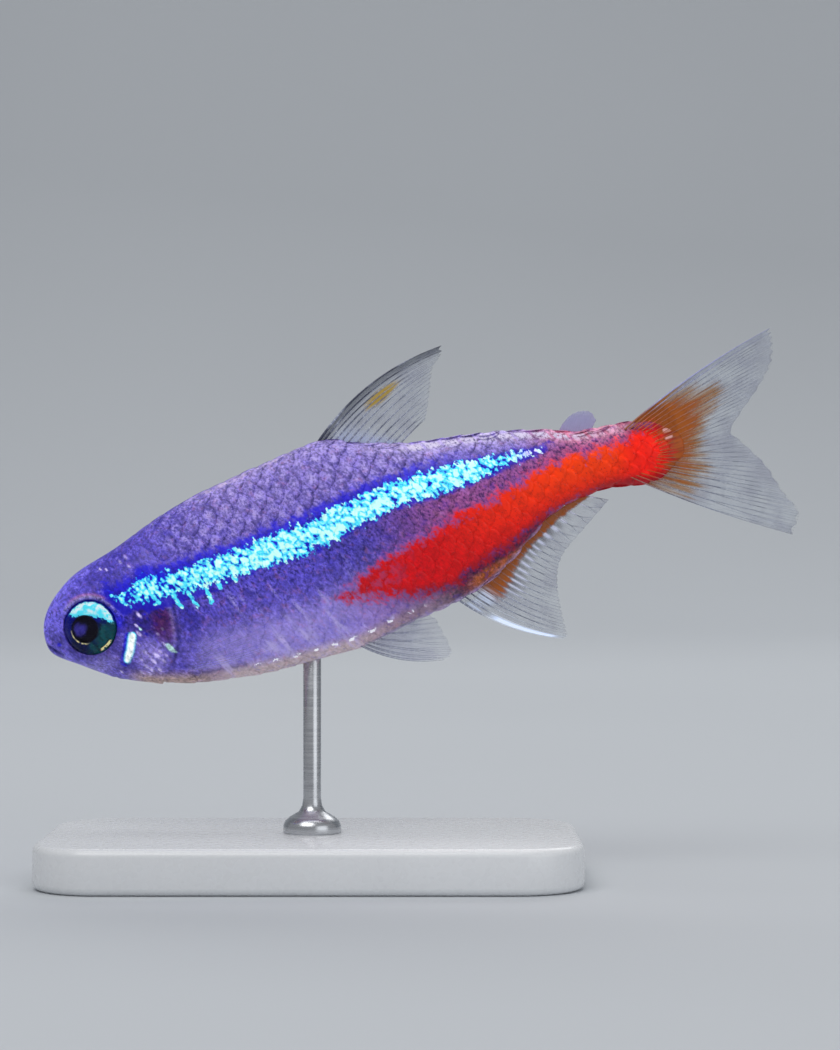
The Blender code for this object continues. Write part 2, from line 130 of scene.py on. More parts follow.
# Markings in the side view: the lower and upper edges of the neon stripe and of the red band
STRIPE_LOW = (
    (3.3, 0.9), (4.0, 0.12), (4.5, 0.18), (5.0, 0.02), (6.0, 0.0), (7.0, 0.02), (8.0, 0.12), (10.0, 0.2),
    (12.0, 0.24), (13.0, 0.46), (14.0, 0.62), (15.0, 0.9), (16.0, 1.12), (17.0, 1.27), (18.0, 1.26),
    (19.0, 1.32), (20.0, 1.42), (21.0, 1.54), (22.0, 1.72), (23.8, 1.95),
)
STRIPE_HIGH = (
    (3.3, 1.1), (4.0, 0.8), (4.5, 1.0), (5.0, 1.32), (6.0, 1.14), (7.0, 1.12), (8.0, 1.2), (9.0, 1.22),
    (10.0, 1.32), (11.0, 1.5), (12.0, 1.55), (13.0, 1.65), (14.0, 1.9), (15.0, 2.1), (16.0, 2.22),
    (17.0, 2.3), (19.0, 2.4), (20.0, 2.4), (21.0, 2.24), (22.0, 2.18), (23.8, 2.05),
)
RED_LOW = (
    (12.3, -2.05), (13.0, -2.25), (14.0, -2.6), (15.0, -2.55), (16.0, -2.62), (17.0, -2.8), (18.0, -2.9),
    (19.0, -2.45), (20.0, -2.1), (21.0, -1.85), (22.0, -1.45), (23.0, -1.05), (24.0, -0.8), (25.0, -0.62),
    (26.0, -0.5), (27.0, -0.5), (28.0, -0.75), (29.0, -0.5), (29.8, -0.1),
)
RED_HIGH = (
    (12.3, -1.95), (13.0, -1.75), (14.0, -1.4), (15.0, -1.0), (16.0, -0.7), (17.0, -0.4), (18.0, -0.2),
    (19.0, 0.1), (20.0, 0.32), (21.0, 0.52), (22.0, 0.8), (23.0, 1.1), (24.0, 1.3), (25.0, 1.4),
    (27.0, 1.42), (28.0, 1.6), (29.0, 1.45), (29.8, 1.1),
)

# Bright drops that hang below the stripe's front part: where each starts and ends
HANGING = (
    (5.17, 0.47, 5.47, -0.10), (6.18, 0.05, 6.37, -0.55), (6.86, 0.0, 7.06, -0.69),
    (7.65, 0.05, 7.73, -0.67), (8.18, 0.27, 8.28, -0.16), (8.86, 0.31, 9.03, -0.03),
)

# Flecks on the head: place along and up, size, colour and strength
FLECKS = (
    (5.40, -2.14, 0.18, "white", 1.0), (5.55, -2.33, 0.08, "white", 0.8), (5.20, -1.92, 0.08, "pearl", 0.8),
    (4.46, -0.38, 0.11, "pearl", 0.9), (4.80, -0.62, 0.06, "deep", 0.8), (4.23, -0.80, 0.08, "pearl", 1.0),
    (4.36, -0.98, 0.07, "white", 1.0), (4.24, -1.18, 0.11, "pearl", 0.8), (4.55, -1.28, 0.07, "deep", 0.9),
    (5.03, -1.40, 0.07, "pearl", 0.5), (5.30, -1.22, 0.05, "pearl", 0.4), (4.72, -0.40, 0.05, "deep", 0.8),
    (4.08, -1.62, 0.09, "pearl", 0.4), (4.26, -2.02, 0.12, "pearl", 0.5), (4.73, -2.34, 0.15, "pearl", 0.9),
    (4.52, -2.54, 0.12, "pearl", 0.8), (4.12, -2.67, 0.10, "pearl", 0.6), (4.30, -2.88, 0.10, "pearl", 0.8),
    (4.64, -2.96, 0.09, "pearl", 0.9), (4.92, -2.20, 0.09, "pearl", 0.6), (4.95, -1.72, 0.07, "deep", 0.6),
    (2.95, -2.61, 0.07, "pearl", 0.9), (3.26, 2.05, 0.06, "pearl", 0.9), (3.53, 1.95, 0.06, "pearl", 0.9),
    (4.57, 1.82, 0.08, "pearl", 0.6), (4.22, 2.12, 0.08, "pearl", 0.5), (4.50, 2.26, 0.10, "pearl", 0.4),
    (4.95, -2.62, 0.08, "pearl", 0.7), (4.42, -2.28, 0.07, "pearl", 0.7), (4.02, -2.32, 0.07, "pearl", 0.6),
    (5.14, -2.42, 0.07, "pearl", 0.7), (4.16, -3.02, 0.08, "pearl", 0.6), (3.82, -2.86, 0.08, "pearl", 0.6),
)
# The white streak on the cheek, and faint flecks low on the belly
CHEEK_STREAK = ((3.92, -1.20), (3.67, -1.75), (3.38, -2.20))
BELLY_FLECKS = (
    (8.7, -3.87), (9.5, -3.95), (10.5, -3.98), (11.8, -3.98), (12.5, -3.96), (13.9, -3.57), (15.2, -3.5), (16.2, -3.42),
)
BELLY_FOLD = ((6.08, -3.55), (7.24, -3.68), (8.4, -3.78))

# Paired fins in their own plane, as in the solids
PECTORAL_PLACE = ((6.2, 1.45, -3.3), (0.96, 0.27, -0.08), (0.1, 0.35, 0.93))
PELVIC_PLACE = ((13.56, 0.5, -4.42), (0.905, 0.14, -0.40), (0.40, -0.20, 0.905))

SURFACE = "Principled BSDF"
BLACK = (0.0, 0.0, 0.0)
# How lilac and how clear the membranes of the paired fins are
PAIRED_VEILS = {"pectoral": (0.9, 0.20), "pelvic": (0.1, 0.80)}
# The rays' ground colour, how much their joints and their dark clouds show, and how solid they are
RAY_LOOKS = {
    "pectoral": ((0.52, 0.50, 0.86), 0.2, 0.0, 0.17),
    "pelvic": ((0.66, 0.72, 0.82), 1.0, 0.30, 0.75),
    "middle": ((0.66, 0.72, 0.82), 1.0, 0.62, 1.0),
}


def tone(red, green, blue):
    """A screen colour from 0 to 255 as the shader's linear colour."""
    return tuple(
        c / 255 / 12.92 if c <= 10 else ((c / 255 + 0.055) / 1.055) ** 2.4 for c in (red, green, blue)
    )


def colour(name, description, red, green, blue):
    return bpy.props.FloatVectorProperty(
        name=name, description=description, default=tone(red, green, blue), subtype="COLOR", size=3, min=0, max=1
    )


def length(name, description, millimetres):
    return bpy.props.FloatProperty(
        name=name, description=description, default=millimetres * MM, unit="LENGTH", precision=5
    )


# Sizes and colours that can be changed

class TetraSkinSettings(bpy.types.PropertyGroup):
    coat_depth: length("Coat depth", "How far the skin lies under the scales", 0.06)
    eye_reach: length("Orbit radius", "Radius of the opening round each eye", 1.235)
    stations: bpy.props.IntProperty(name="Stations", description="Rings along the body", default=330, min=40)
    round_steps: bpy.props.IntProperty(name="Steps round", description="Points in each ring", default=240, min=24)


class TetraColourSettings(bpy.types.PropertyGroup):
    flank: colour("Flank", "Violet of the flank", 106, 92, 206)
    back: colour("Back", "Greyer violet of the back", 132, 114, 208)
    crown: colour("Crown", "Top of the head", 84, 72, 192)
    snout: colour("Snout", "Light edge of the head", 134, 122, 255)
    ridge: colour("Ridge", "Pale ridge of the back", 218, 200, 255)
    belly: colour("Belly", "Lilac of the belly", 158, 142, 228)
    keel: colour("Keel", "Clear lowest edge of the belly", 206, 186, 184)
    throat: colour("Throat", "Warm tint of the throat", 188, 158, 146)
    gill: colour("Gill", "Shadow under the gill cover", 44, 28, 140)
    pearl: colour("Pearl", "Silvery flecks", 214, 200, 255)
    deep: colour("Deep blue", "Saturated blue beside the stripe", 24, 20, 214)
    aqua: colour("Aqua", "Cyan of the neon stripe", 78, 226, 250)
    white: colour("White", "Brightest grains of the stripe", 206, 255, 244)
    ink: colour("Ink", "Dark pigment grains", 34, 26, 104)
    plum: colour("Plum", "Violet beside the red band", 166, 84, 142)
    crimson: colour("Crimson", "Front of the red band", 208, 4, 16)
    scarlet: colour("Scarlet", "Middle of the red band", 240, 44, 4)
    orange: colour("Orange", "Brightest part of the red band", 248, 64, 0)
    root_red: colour("Root red", "Red at the root of the tail", 250, 22, 8)
    maroon: colour("Maroon", "Lower edge of the red band", 106, 8, 34)
    amber: colour("Amber", "Strip over the anal fin and root of the tail's rays", 190, 98, 22)
    rose: colour("Rose", "Ridge of the tail's root", 244, 150, 176)


class TetraScaleSettings(bpy.types.PropertyGroup):
    pitch: length("Pitch", "Distance between scales along the body", 0.80)
    row: length("Row height", "Distance between rows at the deepest part", 0.70)
    breadth: bpy.props.FloatProperty(
        name="Breadth", description="Width of a scale as a share of two rows", default=1.02, min=0.8, max=1.5
    )
    overlap: bpy.props.FloatProperty(
        name="Overlap", description="Length of a scale as a share of the pitch", default=1.50, min=1.0, max=2.5
    )
    thickness: length("Thickness", "Thickness of a scale", 0.018)
    lift: length("Lift", "Rise of a scale from its front edge to its free edge", 0.065)
    jitter: bpy.props.FloatProperty(name="Jitter", description="Spread of sizes", default=0.05, min=0, max=0.3)
    seed: bpy.props.IntProperty(name="Seed", description="Seed of the spread", default=7, min=0)


class TetraEyeSettings(bpy.types.PropertyGroup):
    radius: length("Radius", "Radius of the eye", 1.225)
    pupil: length("Pupil radius", "Radius of the pupil", 0.60)
    bulge: length("Bulge", "Height of the cornea over its rim", 0.34)
    flash: colour("Flash", "Bright upper iris", 84, 232, 255)
    iris: colour("Iris", "Dark ground of the iris", 8, 20, 84)
    moss: colour("Moss", "Green of the lower iris", 20, 92, 100)
    blue: colour("Blue", "Blue round the bright crescent", 8, 18, 170)
    gold: colour("Gold", "Gold rim marks", 236, 226, 160)


class TetraFinSettings(bpy.types.PropertyGroup):
    sheet: length("Membrane", "Thickness of the fin membrane", 0.04)
    ray: length("Ray", "Radius of a ray at its root", 0.045)
    ray_sides: bpy.props.IntProperty(name="Ray sides", description="Sides of a ray", default=6, min=3, max=16)
    clear: colour("Clear", "Tint of the clear membrane", 186, 194, 206)
    haze: colour("Haze", "Darker clouds in the membrane", 140, 142, 168)
    bone: colour("Bone", "Colour of the rays", 160, 166, 186)
    base: colour("Base", "Orange at the fin's base", 176, 92, 24)


class TetraStandSettings(bpy.types.PropertyGroup):
    rim: length("Rim", "Rounding of the base's edges", 0.35)
    rod: length("Rod", "Radius of the rod", 0.40)
    collar: length("Collar", "Radius of the collar", 1.30)


class TetraStageSettings(bpy.types.PropertyGroup):
    lens: bpy.props.FloatProperty(name="Lens", description="Focal length in millimetres", default=100.0, min=20)
    eye_level: length("Eye level", "Height of the camera over the floor", 15.80)
    distance: length("Distance", "Distance of the camera from the middle plane", 130.8)
    backdrop: colour("Backdrop", "Colour of the floor and the backdrop", 196, 200, 204)


# Shape rules

def smooth_line(knots):
    """A function through the knots that turns only where they do. It takes a number or an array."""
    x, y = np.array(knots, float).T
    step = np.diff(x)
    slope = np.diff(y) / step
    tangent = np.empty(len(x))
    tangent[0], tangent[-1] = slope[0], slope[-1]
    for i in range(1, len(x) - 1):
        before, after = slope[i - 1], slope[i]
        if before * after <= 0:
            tangent[i] = 0.0
        else:
            w1, w2 = 2 * step[i] + step[i - 1], step[i] + 2 * step[i - 1]
            tangent[i] = (w1 + w2) / (w1 / before + w2 / after)

    def value(at):
        at = np.asarray(at, float)
        i = np.clip(np.searchsorted(x, at) - 1, 0, len(step) - 1)
        t = np.clip((at - x[i]) / step[i], 0.0, 1.0)
        return ((1 + 2 * t) * (1 - t) ** 2 * y[i] + t * (1 - t) ** 2 * step[i] * tangent[i]
                + t * t * (3 - 2 * t) * y[i + 1] + t * t * (t - 1) * step[i] * tangent[i + 1])

    return value


def bluntly(knots):
    """The same, on the root of the distance from the snout, which rounds the snout off."""
    rooted = smooth_line([(math.sqrt(along - BODY_START), height) for along, height in knots])
    return lambda along: rooted(np.sqrt(np.maximum(np.asarray(along, float) - BODY_START, 0.0)))


def flowing(knots):
    """A smooth curve through rows of numbers, each row led by its share from 0 to 1."""
    rows = np.array(knots, float)
    x, y = rows[:, 0], rows[:, 1:]
    step = np.diff(x)
    tangent = np.gradient(y, x, axis=0)

    def value(at):
        at = np.asarray(at, float)
        i = np.clip(np.searchsorted(x, at) - 1, 0, len(step) - 1)
        t = np.clip((at - x[i]) / step[i], 0.0, 1.0)[..., None]
        width = step[i][..., None]
        return ((1 + 2 * t) * (1 - t) ** 2 * y[i] + t * (1 - t) ** 2 * width * tangent[i]
                + t * t * (3 - 2 * t) * y[i + 1] + t * t * (t - 1) * width * tangent[i + 1])

    return value


back, belly, half_width = bluntly(BACK), bluntly(BELLY), bluntly(HALF_WIDTH)
widest, back_fullness, belly_fullness = (smooth_line(k) for k in (WIDEST, BACK_FULLNESS, BELLY_FULLNESS))
gill_edge = smooth_line(GILL_EDGE)
stripe_low, stripe_high, red_low, red_high = (
    smooth_line(k) for k in (STRIPE_LOW, STRIPE_HIGH, RED_LOW, RED_HIGH)
)


def ease(value, low, high):
    """0 below low and 1 above high, smooth between them. low may be the greater."""
    t = np.clip((np.asarray(value, float) - low) / (high - low), 0.0, 1.0)
    return t * t * (3 - 2 * t)


def hump(value, centre, width):
    return np.exp(-(((value - centre) / width) ** 2))


def between(value, low, full, past, high):
    """Rises over low to full and falls over past to high."""
    return ease(value, low, full) * ease(value, high, past)


def to_line(along, up, points):
    """Distance from each place to a broken line in the side view."""
    found = np.full(np.shape(along), 1e9)
    for (a0, u0), (a1, u1) in zip(points, points[1:]):
        da, du = a1 - a0, u1 - u0
        t = np.clip(((along - a0) * da + (up - u0) * du) / (da * da + du * du), 0, 1)
        found = np.minimum(found, np.hypot(along - a0 - t * da, up - u0 - t * du))
    return found


def run_along(places):
    """Length of a line of places up to each of them."""
    return np.concatenate(([0.0], np.cumsum(np.linalg.norm(np.diff(places, axis=0), axis=1))))


def body_surface(along, angle):
    """Places on the body, for arrays of stations and of angles round it."""
    across, upward = np.cos(angle), np.sin(angle)
    middle = widest(along)
    fullness = np.where(upward >= 0, back_fullness(along), belly_fullness(along))
    reach = (np.abs(across) ** fullness + np.abs(upward) ** fullness) ** (-1 / fullness)
    height = np.where(upward >= 0, back(along) - middle, middle - belly(along))
    return np.stack((np.broadcast_to(along, reach.shape), half_width(along) * across * reach,
                     middle + height * upward * reach), axis=-1)


def facing(along, angle):
    """Outward unit normals and the unit direction along the body at the same places."""
    step = 0.02
    ahead = body_surface(np.minimum(along + step, BODY_END), angle)
    behind = body_surface(np.maximum(along - step, BODY_START + 1e-4), angle)
    lie = ahead - behind
    round_it = body_surface(along, angle + 0.01) - body_surface(along, angle - 0.01)
    normal = np.cross(round_it, lie)
    normal /= np.maximum(np.linalg.norm(normal, axis=-1, keepdims=True), 1e-12)
    lie /= np.maximum(np.linalg.norm(lie, axis=-1, keepdims=True), 1e-12)
    return -normal if np.mean(normal[..., 1] * np.cos(angle)) < 0 else normal, lie


def behind_gill(along, up):
    """How far behind the gill cover's free edge each place is."""
    return along - gill_edge(up)


def from_eye(along, up):
    """Distance from the eye's centre in the side view."""
    return np.hypot(along - EYE_CENTRE[0], up - EYE_CENTRE[1])


def relief(place, coat_depth, orbit):
    """How far the skin stands out from the smooth body at each place, in mm: folds, grooves and seats."""
    along, _, up = np.moveaxis(place, -1, 0)
    behind = behind_gill(along, up)
    rise = -BARE_DEPTH - (coat_depth - BARE_DEPTH) * ease(behind, -0.02, 0.3)
    # The gill cover's free edge, the slit behind it and the cheek's edge
    open_part = ease(up, 2.1, 1.1)
    rise += 0.05 * ease(behind, -0.75, -0.05) * (behind < 0.0) * open_part
    rise += np.where(behind >= 0, -0.09 * hump(behind, 0.07, 0.10), 0.0) * open_part
    rise += 0.03 * ease(behind, 1.3, 0.15) * (behind >= 0) * open_part
    cheek = to_line(along, up, CHEEK_LINE)
    rise += 0.025 * hump(cheek, 0.20, 0.14) - 0.04 * hump(cheek, 0.0, 0.07)
    # Mouth, lips and the fold beside the upper jaw
    mouth = to_line(along, up, MOUTH_LINE)
    inner = ease(up - belly(along), 0.03, 0.35)
    rise += (0.07 * hump(mouth, 0.17, 0.10) - 0.15 * hump(mouth, 0.0, 0.055)) * inner
    rise += -0.045 * hump(to_line(along, up, LIP_FOLD), 0.0, 0.07) * inner
    for nose_along, nose_up, size in NOSTRILS:
        off = np.hypot(along - nose_along, up - nose_up)
        rise += -0.11 * hump(off, 0.0, size) + 0.03 * hump(off, size * 1.7, size * 0.6)
    # The bony ridge over the orbit
    eye = from_eye(along, up)
    rise += 0.05 * hump(eye, orbit + 0.10, 0.09) - 0.02 * hump(eye, orbit + 0.33, 0.12)
    return rise


def seat_eyes(place, orbit):
    """Skin round each eye levelled with the eye's rim, and the bowl that the eye sits in."""
    along, side, up = np.moveaxis(place, -1, 0)
    eye = from_eye(along, up)
    on_flank = np.abs(side) > 0.5
    level = EYE_SEAT + 0.035 + (along - EYE_CENTRE[0]) * math.tan(EYE_TURN)
    hold = ease(eye, orbit + 0.75, orbit + 0.05)
    out = np.where(on_flank, np.abs(side) * (1 - hold) + level * hold, np.abs(side))
    out = out - 0.75 * ease(eye, orbit + 0.01, orbit - 0.14) * on_flank
    place[..., 1] = np.copysign(out, side)
    return place


def to_model(place):
    """Model coordinates in metres of places in the fish's frame."""
    along, side, up = np.moveaxis(np.asarray(place, float), -1, 0)
    sine, cosine = math.sin(NOSE_DOWN), math.cos(NOSE_DOWN)
    return np.stack((SNOUT_X + along * cosine - up * sine, side, SNOUT_HEIGHT + along * sine + up * cosine),
                    axis=-1) * MM


def to_fish(points):
    """The fish's own coordinates in millimetres of model points in metres."""
    x, y, z = np.moveaxis(np.asarray(points, float) / MM, -1, 0)
    sine, cosine = math.sin(NOSE_DOWN), math.cos(NOSE_DOWN)
    x, z = x - SNOUT_X, z - SNOUT_HEIGHT
    return np.stack((x * cosine + z * sine, y, z * cosine - x * sine), axis=-1)


def turned(vectors):
    """Directions in the fish's frame as directions in the model."""
    return to_model(vectors) / MM - np.array((SNOUT_X, 0.0, SNOUT_HEIGHT))


# Markings: soft fields at each point of the skin and scales. The material adds the fine grain.

def over(under, paint, amount):
    amount = np.clip(amount, 0, 1)[..., None]
    return under * (1 - amount) + np.array(paint[:3]) * amount


def base_tint(place, paints):
    """The skin's ground colour, and how much it shines, in gloss and in painted glow, before the grain, the stripe and
    the red band.
    """
    along, _, up = np.moveaxis(place, -1, 0)
    top, bottom = back(along), belly(along)
    from_top, from_bottom = top - up, up - bottom
    share = np.clip(from_bottom / np.maximum(top - bottom, 0.05), 0, 1)
    over_red, under_stripe, strip = up - red_high(along), stripe_low(along) - up, red_low(along) - up
    maroon, ink = np.array(paints.maroon), np.array(paints.ink)

    def run(*bounds):
        """Share of a colour along the body: rises over two places and, with four, falls over the others."""
        return between(along, *bounds) if len(bounds) == 4 else ease(along, *bounds)

    def blob(centre_along, centre_up, reach_along, reach_up, edge, core):
        return ease(np.hypot((along - centre_along) / reach_along, (up - centre_up) / reach_up), edge, core)

    # Between the two bands and under the red one
    gap = ease(over_red, -0.3, 0.3) * ease(under_stripe, -0.1, 0.3)
    rear_belly = ease(under_stripe, 1.5, 2.6) * run(19.0, 18.0)
    # Round the eye. level_up is the height over it as the viewer sees it
    eye = from_eye(along, up)
    blue = ease(eye, 2.15, 1.35) * run(2.7, 3.3) * between(up, -1.3, -0.5, 1.1, 1.7)
    level_up = (up - EYE_CENTRE[1]) * math.cos(NOSE_DOWN) + (along - EYE_CENTRE[0]) * math.sin(NOSE_DOWN)
    hollow_shade = blob(6.62, -1.0, 0.62, 1.2, 1.15, 0.4)
    behind = behind_gill(along, up)
    streak = to_line(along, up, CHEEK_STREAK) + 0.07 * ease(up, -1.9, -2.35)
    layers = [
        (paints.back, ease(share, 0.55, 0.84) * run(6.0, 10.0)),
        (paints.ridge, (0.26 + 0.40 * run(14.5, 18.0)) * ease(from_top, 0.95, 0.15) * run(6.5, 10.0, 26.0, 30.0)),
        (paints.crown, run(6.5, 3.5) * ease(share, 0.45, 0.75)),
        (paints.snout, 0.72 * run(3.0, 0.5)),
        (paints.belly, ease(under_stripe, 1.5, 2.9) * run(5.6, 7.4, 17.0, 19.0)),
        (paints.deep, 0.24 * between(under_stripe, 0.0, 0.2, 0.6, 1.9) * run(5.6, 6.4, 14.0, 17.5)),
        # Head: lighter snout edge, darker cheeks and jaw
        (paints.snout, 0.8 * ease(from_top, 0.75, 0.1) * run(4.0, 1.0)),
        (ink, 0.14 * ease(share, 0.55, 0.30) * run(4.2, 3.2)),
        # Dark violet between the two bands, turning red-violet behind, and the magenta top of the tail's root
        (ink, 0.30 * gap * run(12.0, 15.0, 19.0, 22.5)),
        (paints.plum, 0.80 * gap * run(14.5, 19.5)),
        (paints.plum, 0.85 * ease(over_red, -0.6, 0.2) * run(22.0, 25.0)),
        (paints.rose, 0.72 * ease(from_top, 0.80, 0.22) * run(22.5, 25.0, 27.2, 28.4)),
        (maroon * 1.3, 0.8 * run(26.8, 28.2)),
        # Clear lowest edge of the belly, warm throat, dark and amber strips over the anal fin
        (paints.keel, 0.90 * ease(from_bottom, 0.85, 0.30) * run(6.0, 8.0, 18.0, 19.0)),
        (paints.plum, 0.42 * rear_belly * run(12.5, 16.5)),
        (ink, 0.48 * rear_belly * run(13.5, 17.0)),
        (paints.keel, 0.12 * ease(from_bottom, 1.2, 0.6) * run(13.5, 15.5, 18.0, 19.0)),
        (paints.throat, 0.95 * ease(from_bottom, 0.8, 0.2) * run(2.8, 4.0, 6.0, 8.5)),
        (maroon * 0.55, 0.9 * ease(strip, -0.25, 0.05) * run(17.0, 19.0, 25.0, 25.8)),
        (paints.amber, 0.8 * ease(strip, 0.22, 0.42) * run(18.4, 19.4, 24.8, 25.6)),
        (paints.pearl, 0.55 * ease(from_bottom, 0.16, 0.04) * run(13.5, 15.0)),
        # Blue behind the eye, blood and shadow under the gill cover
        (paints.deep, 0.9 * blue),
        (ink, 0.5 * ease(eye, 1.75, 1.3) * (1 - blue) * ease(up, 0.3, -0.6)),
        (paints.gill, 0.9 * blob(4.9, -0.62, 1.15, 0.95, 1.15, 0.55)),
        (maroon * 0.7 + ink * 0.3, 0.62 * blob(5.42, -1.10, 0.60, 1.0, 1.15, 0.5)),
        # Painted shade in the hollow behind the gill cover
        (paints.deep, 0.34 * hollow_shade),
        (ink, 0.32 * hollow_shade),
        (paints.belly, 0.75 * blob(4.5, -2.35, 0.85, 0.95, 1.1, 0.5)),
        # Pale arcs over the eye, and painted shade in the slit just behind the gill cover's free edge
        (paints.pearl, 0.5 * hump(eye, 1.37, 0.07) * ease(level_up, 0.5, 1.0)),
        (paints.rose, 0.35 * hump(eye, 1.46, 0.06) * ease(level_up, 0.9, 1.3)),
        (ink, 0.75 * hump(behind, 0.06, 0.09) * between(up, -3.3, -2.4, 0.2, 1.0)),
        (paints.pearl, 0.15 * hump(behind, -0.12, 0.07) * between(up, -2.9, -2.2, -0.3, 0.3)),
        # Cheek streak: white, with a blue front edge
        (paints.deep, ease(to_line(along + 0.13, up, CHEEK_STREAK), 0.27, 0.17)),
        (paints.aqua, ease(streak, 0.22, 0.17)),
        ((0.92, 1.0, 0.97), ease(streak, 0.175, 0.12)),
    ]
    shine = ease(streak, 0.22, 0.14)
    for fleck_along, fleck_up, size, paint, strength in FLECKS:
        off_up = up - fleck_up
        fleck = ease(np.hypot(along - fleck_along + 0.45 * off_up, 0.62 * off_up), size, size * 0.45) * strength
        layers.append((getattr(paints, paint), fleck))
        shine = np.maximum(shine, 0.6 * fleck)
    # Mottled cheeks, dark lips with a blue fleck at the corner of the mouth
    lips = hump(to_line(along, up, MOUTH_LINE), 0.0, 0.10)
    layers += [
        (paints.pearl, 0.20 * blob(1.9, -2.1, 1.5, 0.6, 1.1, 0.3)),
        (ink, 0.45 * ease(np.hypot(along - 0.5, up + 0.52), 0.42, 0.18)),
        (paints.deep, 0.8 * ease(np.hypot(along - 0.58, up + 0.72), 0.14, 0.06)),
        (ink * 0.5, 0.70 * lips * ease(from_bottom, 0.0, 0.3)),
    ]
    for fleck_along, fleck_up in BELLY_FLECKS:
        layers.append((paints.pearl, 0.8 * ease(np.hypot((along - fleck_along) * 0.6, up - fleck_up), 0.09, 0.03)))
    layers.append((ink, 0.55 * ease(to_line(along, up, BELLY_FOLD), 0.13, 0.03)))
    ground = np.broadcast_to(np.array(paints.flank[:3]), place.shape).copy()
    for paint, amount in layers:
        ground = over(ground, paint, amount)
    return ground, shine


def band_tint(place, paints):
    """The colour of the red band at each place."""
    along, _, up = np.moveaxis(place, -1, 0)
    from_low = up - red_low(along)
    high = ease(from_low / np.maximum(red_high(along) - red_low(along), 0.2), 0.1, 0.75)
    red = np.broadcast_to(np.array(paints.crimson[:3]), place.shape).copy()
    for paint, amount in (
        (paints.scarlet, ease(along, 17.0, 23.0) * (0.30 + 0.70 * high)),
        (paints.orange, between(along, 21.0, 25.5, 26.8, 28.2) * (0.2 + 0.6 * high)),
        (paints.root_red, 0.8 * ease(along, 26.2, 27.8)),
        (np.array(paints.maroon) * 1.2, 0.7 * ease(back(along) - up, 0.75, 0.2) * ease(along, 27.0, 28.0)),
        (paints.maroon, 0.70 * ease(from_low, 0.55, 0.0) * ease(along, 14.5, 17.5)),
    ):
        red = over(red, paint, amount)
    return red


def store(mesh, values_of, kind="FLOAT"):
    """Stores point attributes: a number each, a FLOAT_VECTOR or a FLOAT_COLOR."""
    field = {"FLOAT": "value", "FLOAT_VECTOR": "vector", "FLOAT_COLOR": "color"}[kind]
    for name, values in values_of.items():
        flat = np.asarray(values, np.float32).ravel()
        mesh.attributes.new(name, kind, "POINT").data.foreach_set(field, flat)


def paint_fields(mesh, places, paints):
    """Stores what the skin material reads: places in mm, colours, and distances from the bands' edges."""
    along, side, up = np.moveaxis(places, -1, 0)
    ground, shine = base_tint(places, paints)
    low, high = stripe_low(along), stripe_high(along)
    stripe_ends = np.minimum((along - 3.42) * 1.5, (23.4 - along) * 0.35)
    stripe = np.minimum(np.minimum(up - low, high - up), stripe_ends)
    floor = np.minimum(red_low(along), belly(along) - 0.4 * ease(along, 25.0, 26.0))
    floor = np.where(along > 25.0, floor, red_low(along))
    red = np.minimum(np.minimum(up - floor, red_high(along) - up), (along - 12.3) * 0.5)
    store(mesh, {
        "stripe": np.where(np.abs(side) < 0.25, -9.0, stripe),
        "stripe_rise": (up - low) / np.maximum(high - low, 0.1),
        "below": low - up,
        "red": np.where(along > 27.0, red + ease(along, 27.0, 28.8) * 0.35, red),
        "shine": shine,
        "patchy": ease(up - high, 0.0, 0.8) * between(along, 5.0, 7.5, 22.0, 26.0),
        "from_top": back(along) - up,
        "from_bottom": up - belly(along),
    })
    store(mesh, {"place": places}, "FLOAT_VECTOR")
    opaque = np.ones((*along.shape, 1))
    paints_of = {"ground": ground, "band": band_tint(places, paints)}
    store(mesh, {name: np.concatenate((values, opaque), axis=-1) for name, values in paints_of.items()}, "FLOAT_COLOR")


# Material nodes

class Wire:
    """A number on its way through a material's nodes."""

    def __init__(self, tree, socket):
        self.tree, self.socket = tree, socket

    def sent(self, operation, first, second=0.0):
        node = self.tree.nodes.new("ShaderNodeMath")
        node.operation = operation
        for entry, value in zip(node.inputs, (first, second)):
            connect(self.tree, entry, value)
        return Wire(self.tree, node.outputs[0])

    def __add__(self, other):
        return self.sent("ADD", self, other)

    def __sub__(self, other):
        return self.sent("SUBTRACT", self, other)

    def __rsub__(self, other):
        return self.sent("SUBTRACT", other, self)

    def __mul__(self, other):
        return self.sent("MULTIPLY", self, other)

    __radd__, __rmul__ = __add__, __mul__

    def most(self, *others):
        found = self
        for other in others:
            found = found.sent("MAXIMUM", found, other)
        return found

    def least(self, other):
        return self.sent("MINIMUM", self, other)

    def fraction(self):
        return self.sent("FRACT", self)

    def swing(self, amount):
        """A pattern from 0 to 1 as a shift both ways."""
        return (self - 0.5) * amount

    def eased(self, low, high, start=0.0, end=1.0):
        node = self.tree.nodes.new("ShaderNodeMapRange")
        node.interpolation_type = "SMOOTHSTEP"
        for entry, value in zip(("From Min", "From Max", "To Min", "To Max"), (low, high, start, end)):
            node.inputs[entry].default_value = value
        self.tree.links.new(self.socket, node.inputs["Value"])
        return Wire(self.tree, node.outputs["Result"])

    def between(self, low, full, past, high):
        """Rises over low to full and falls over past to high."""
        return self.eased(low, full) * self.eased(high, past)


def connect(tree, entry, value):
    """Links a wire or a socket to a node's input, or sets the input. A colour gets its alpha."""
    if isinstance(value, (Wire, bpy.types.NodeSocket)):
        tree.links.new(getattr(value, "socket", value), entry)
    elif entry.type == "RGBA":
        entry.default_value = (*value[:3], 1.0)
    else:
        entry.default_value = value


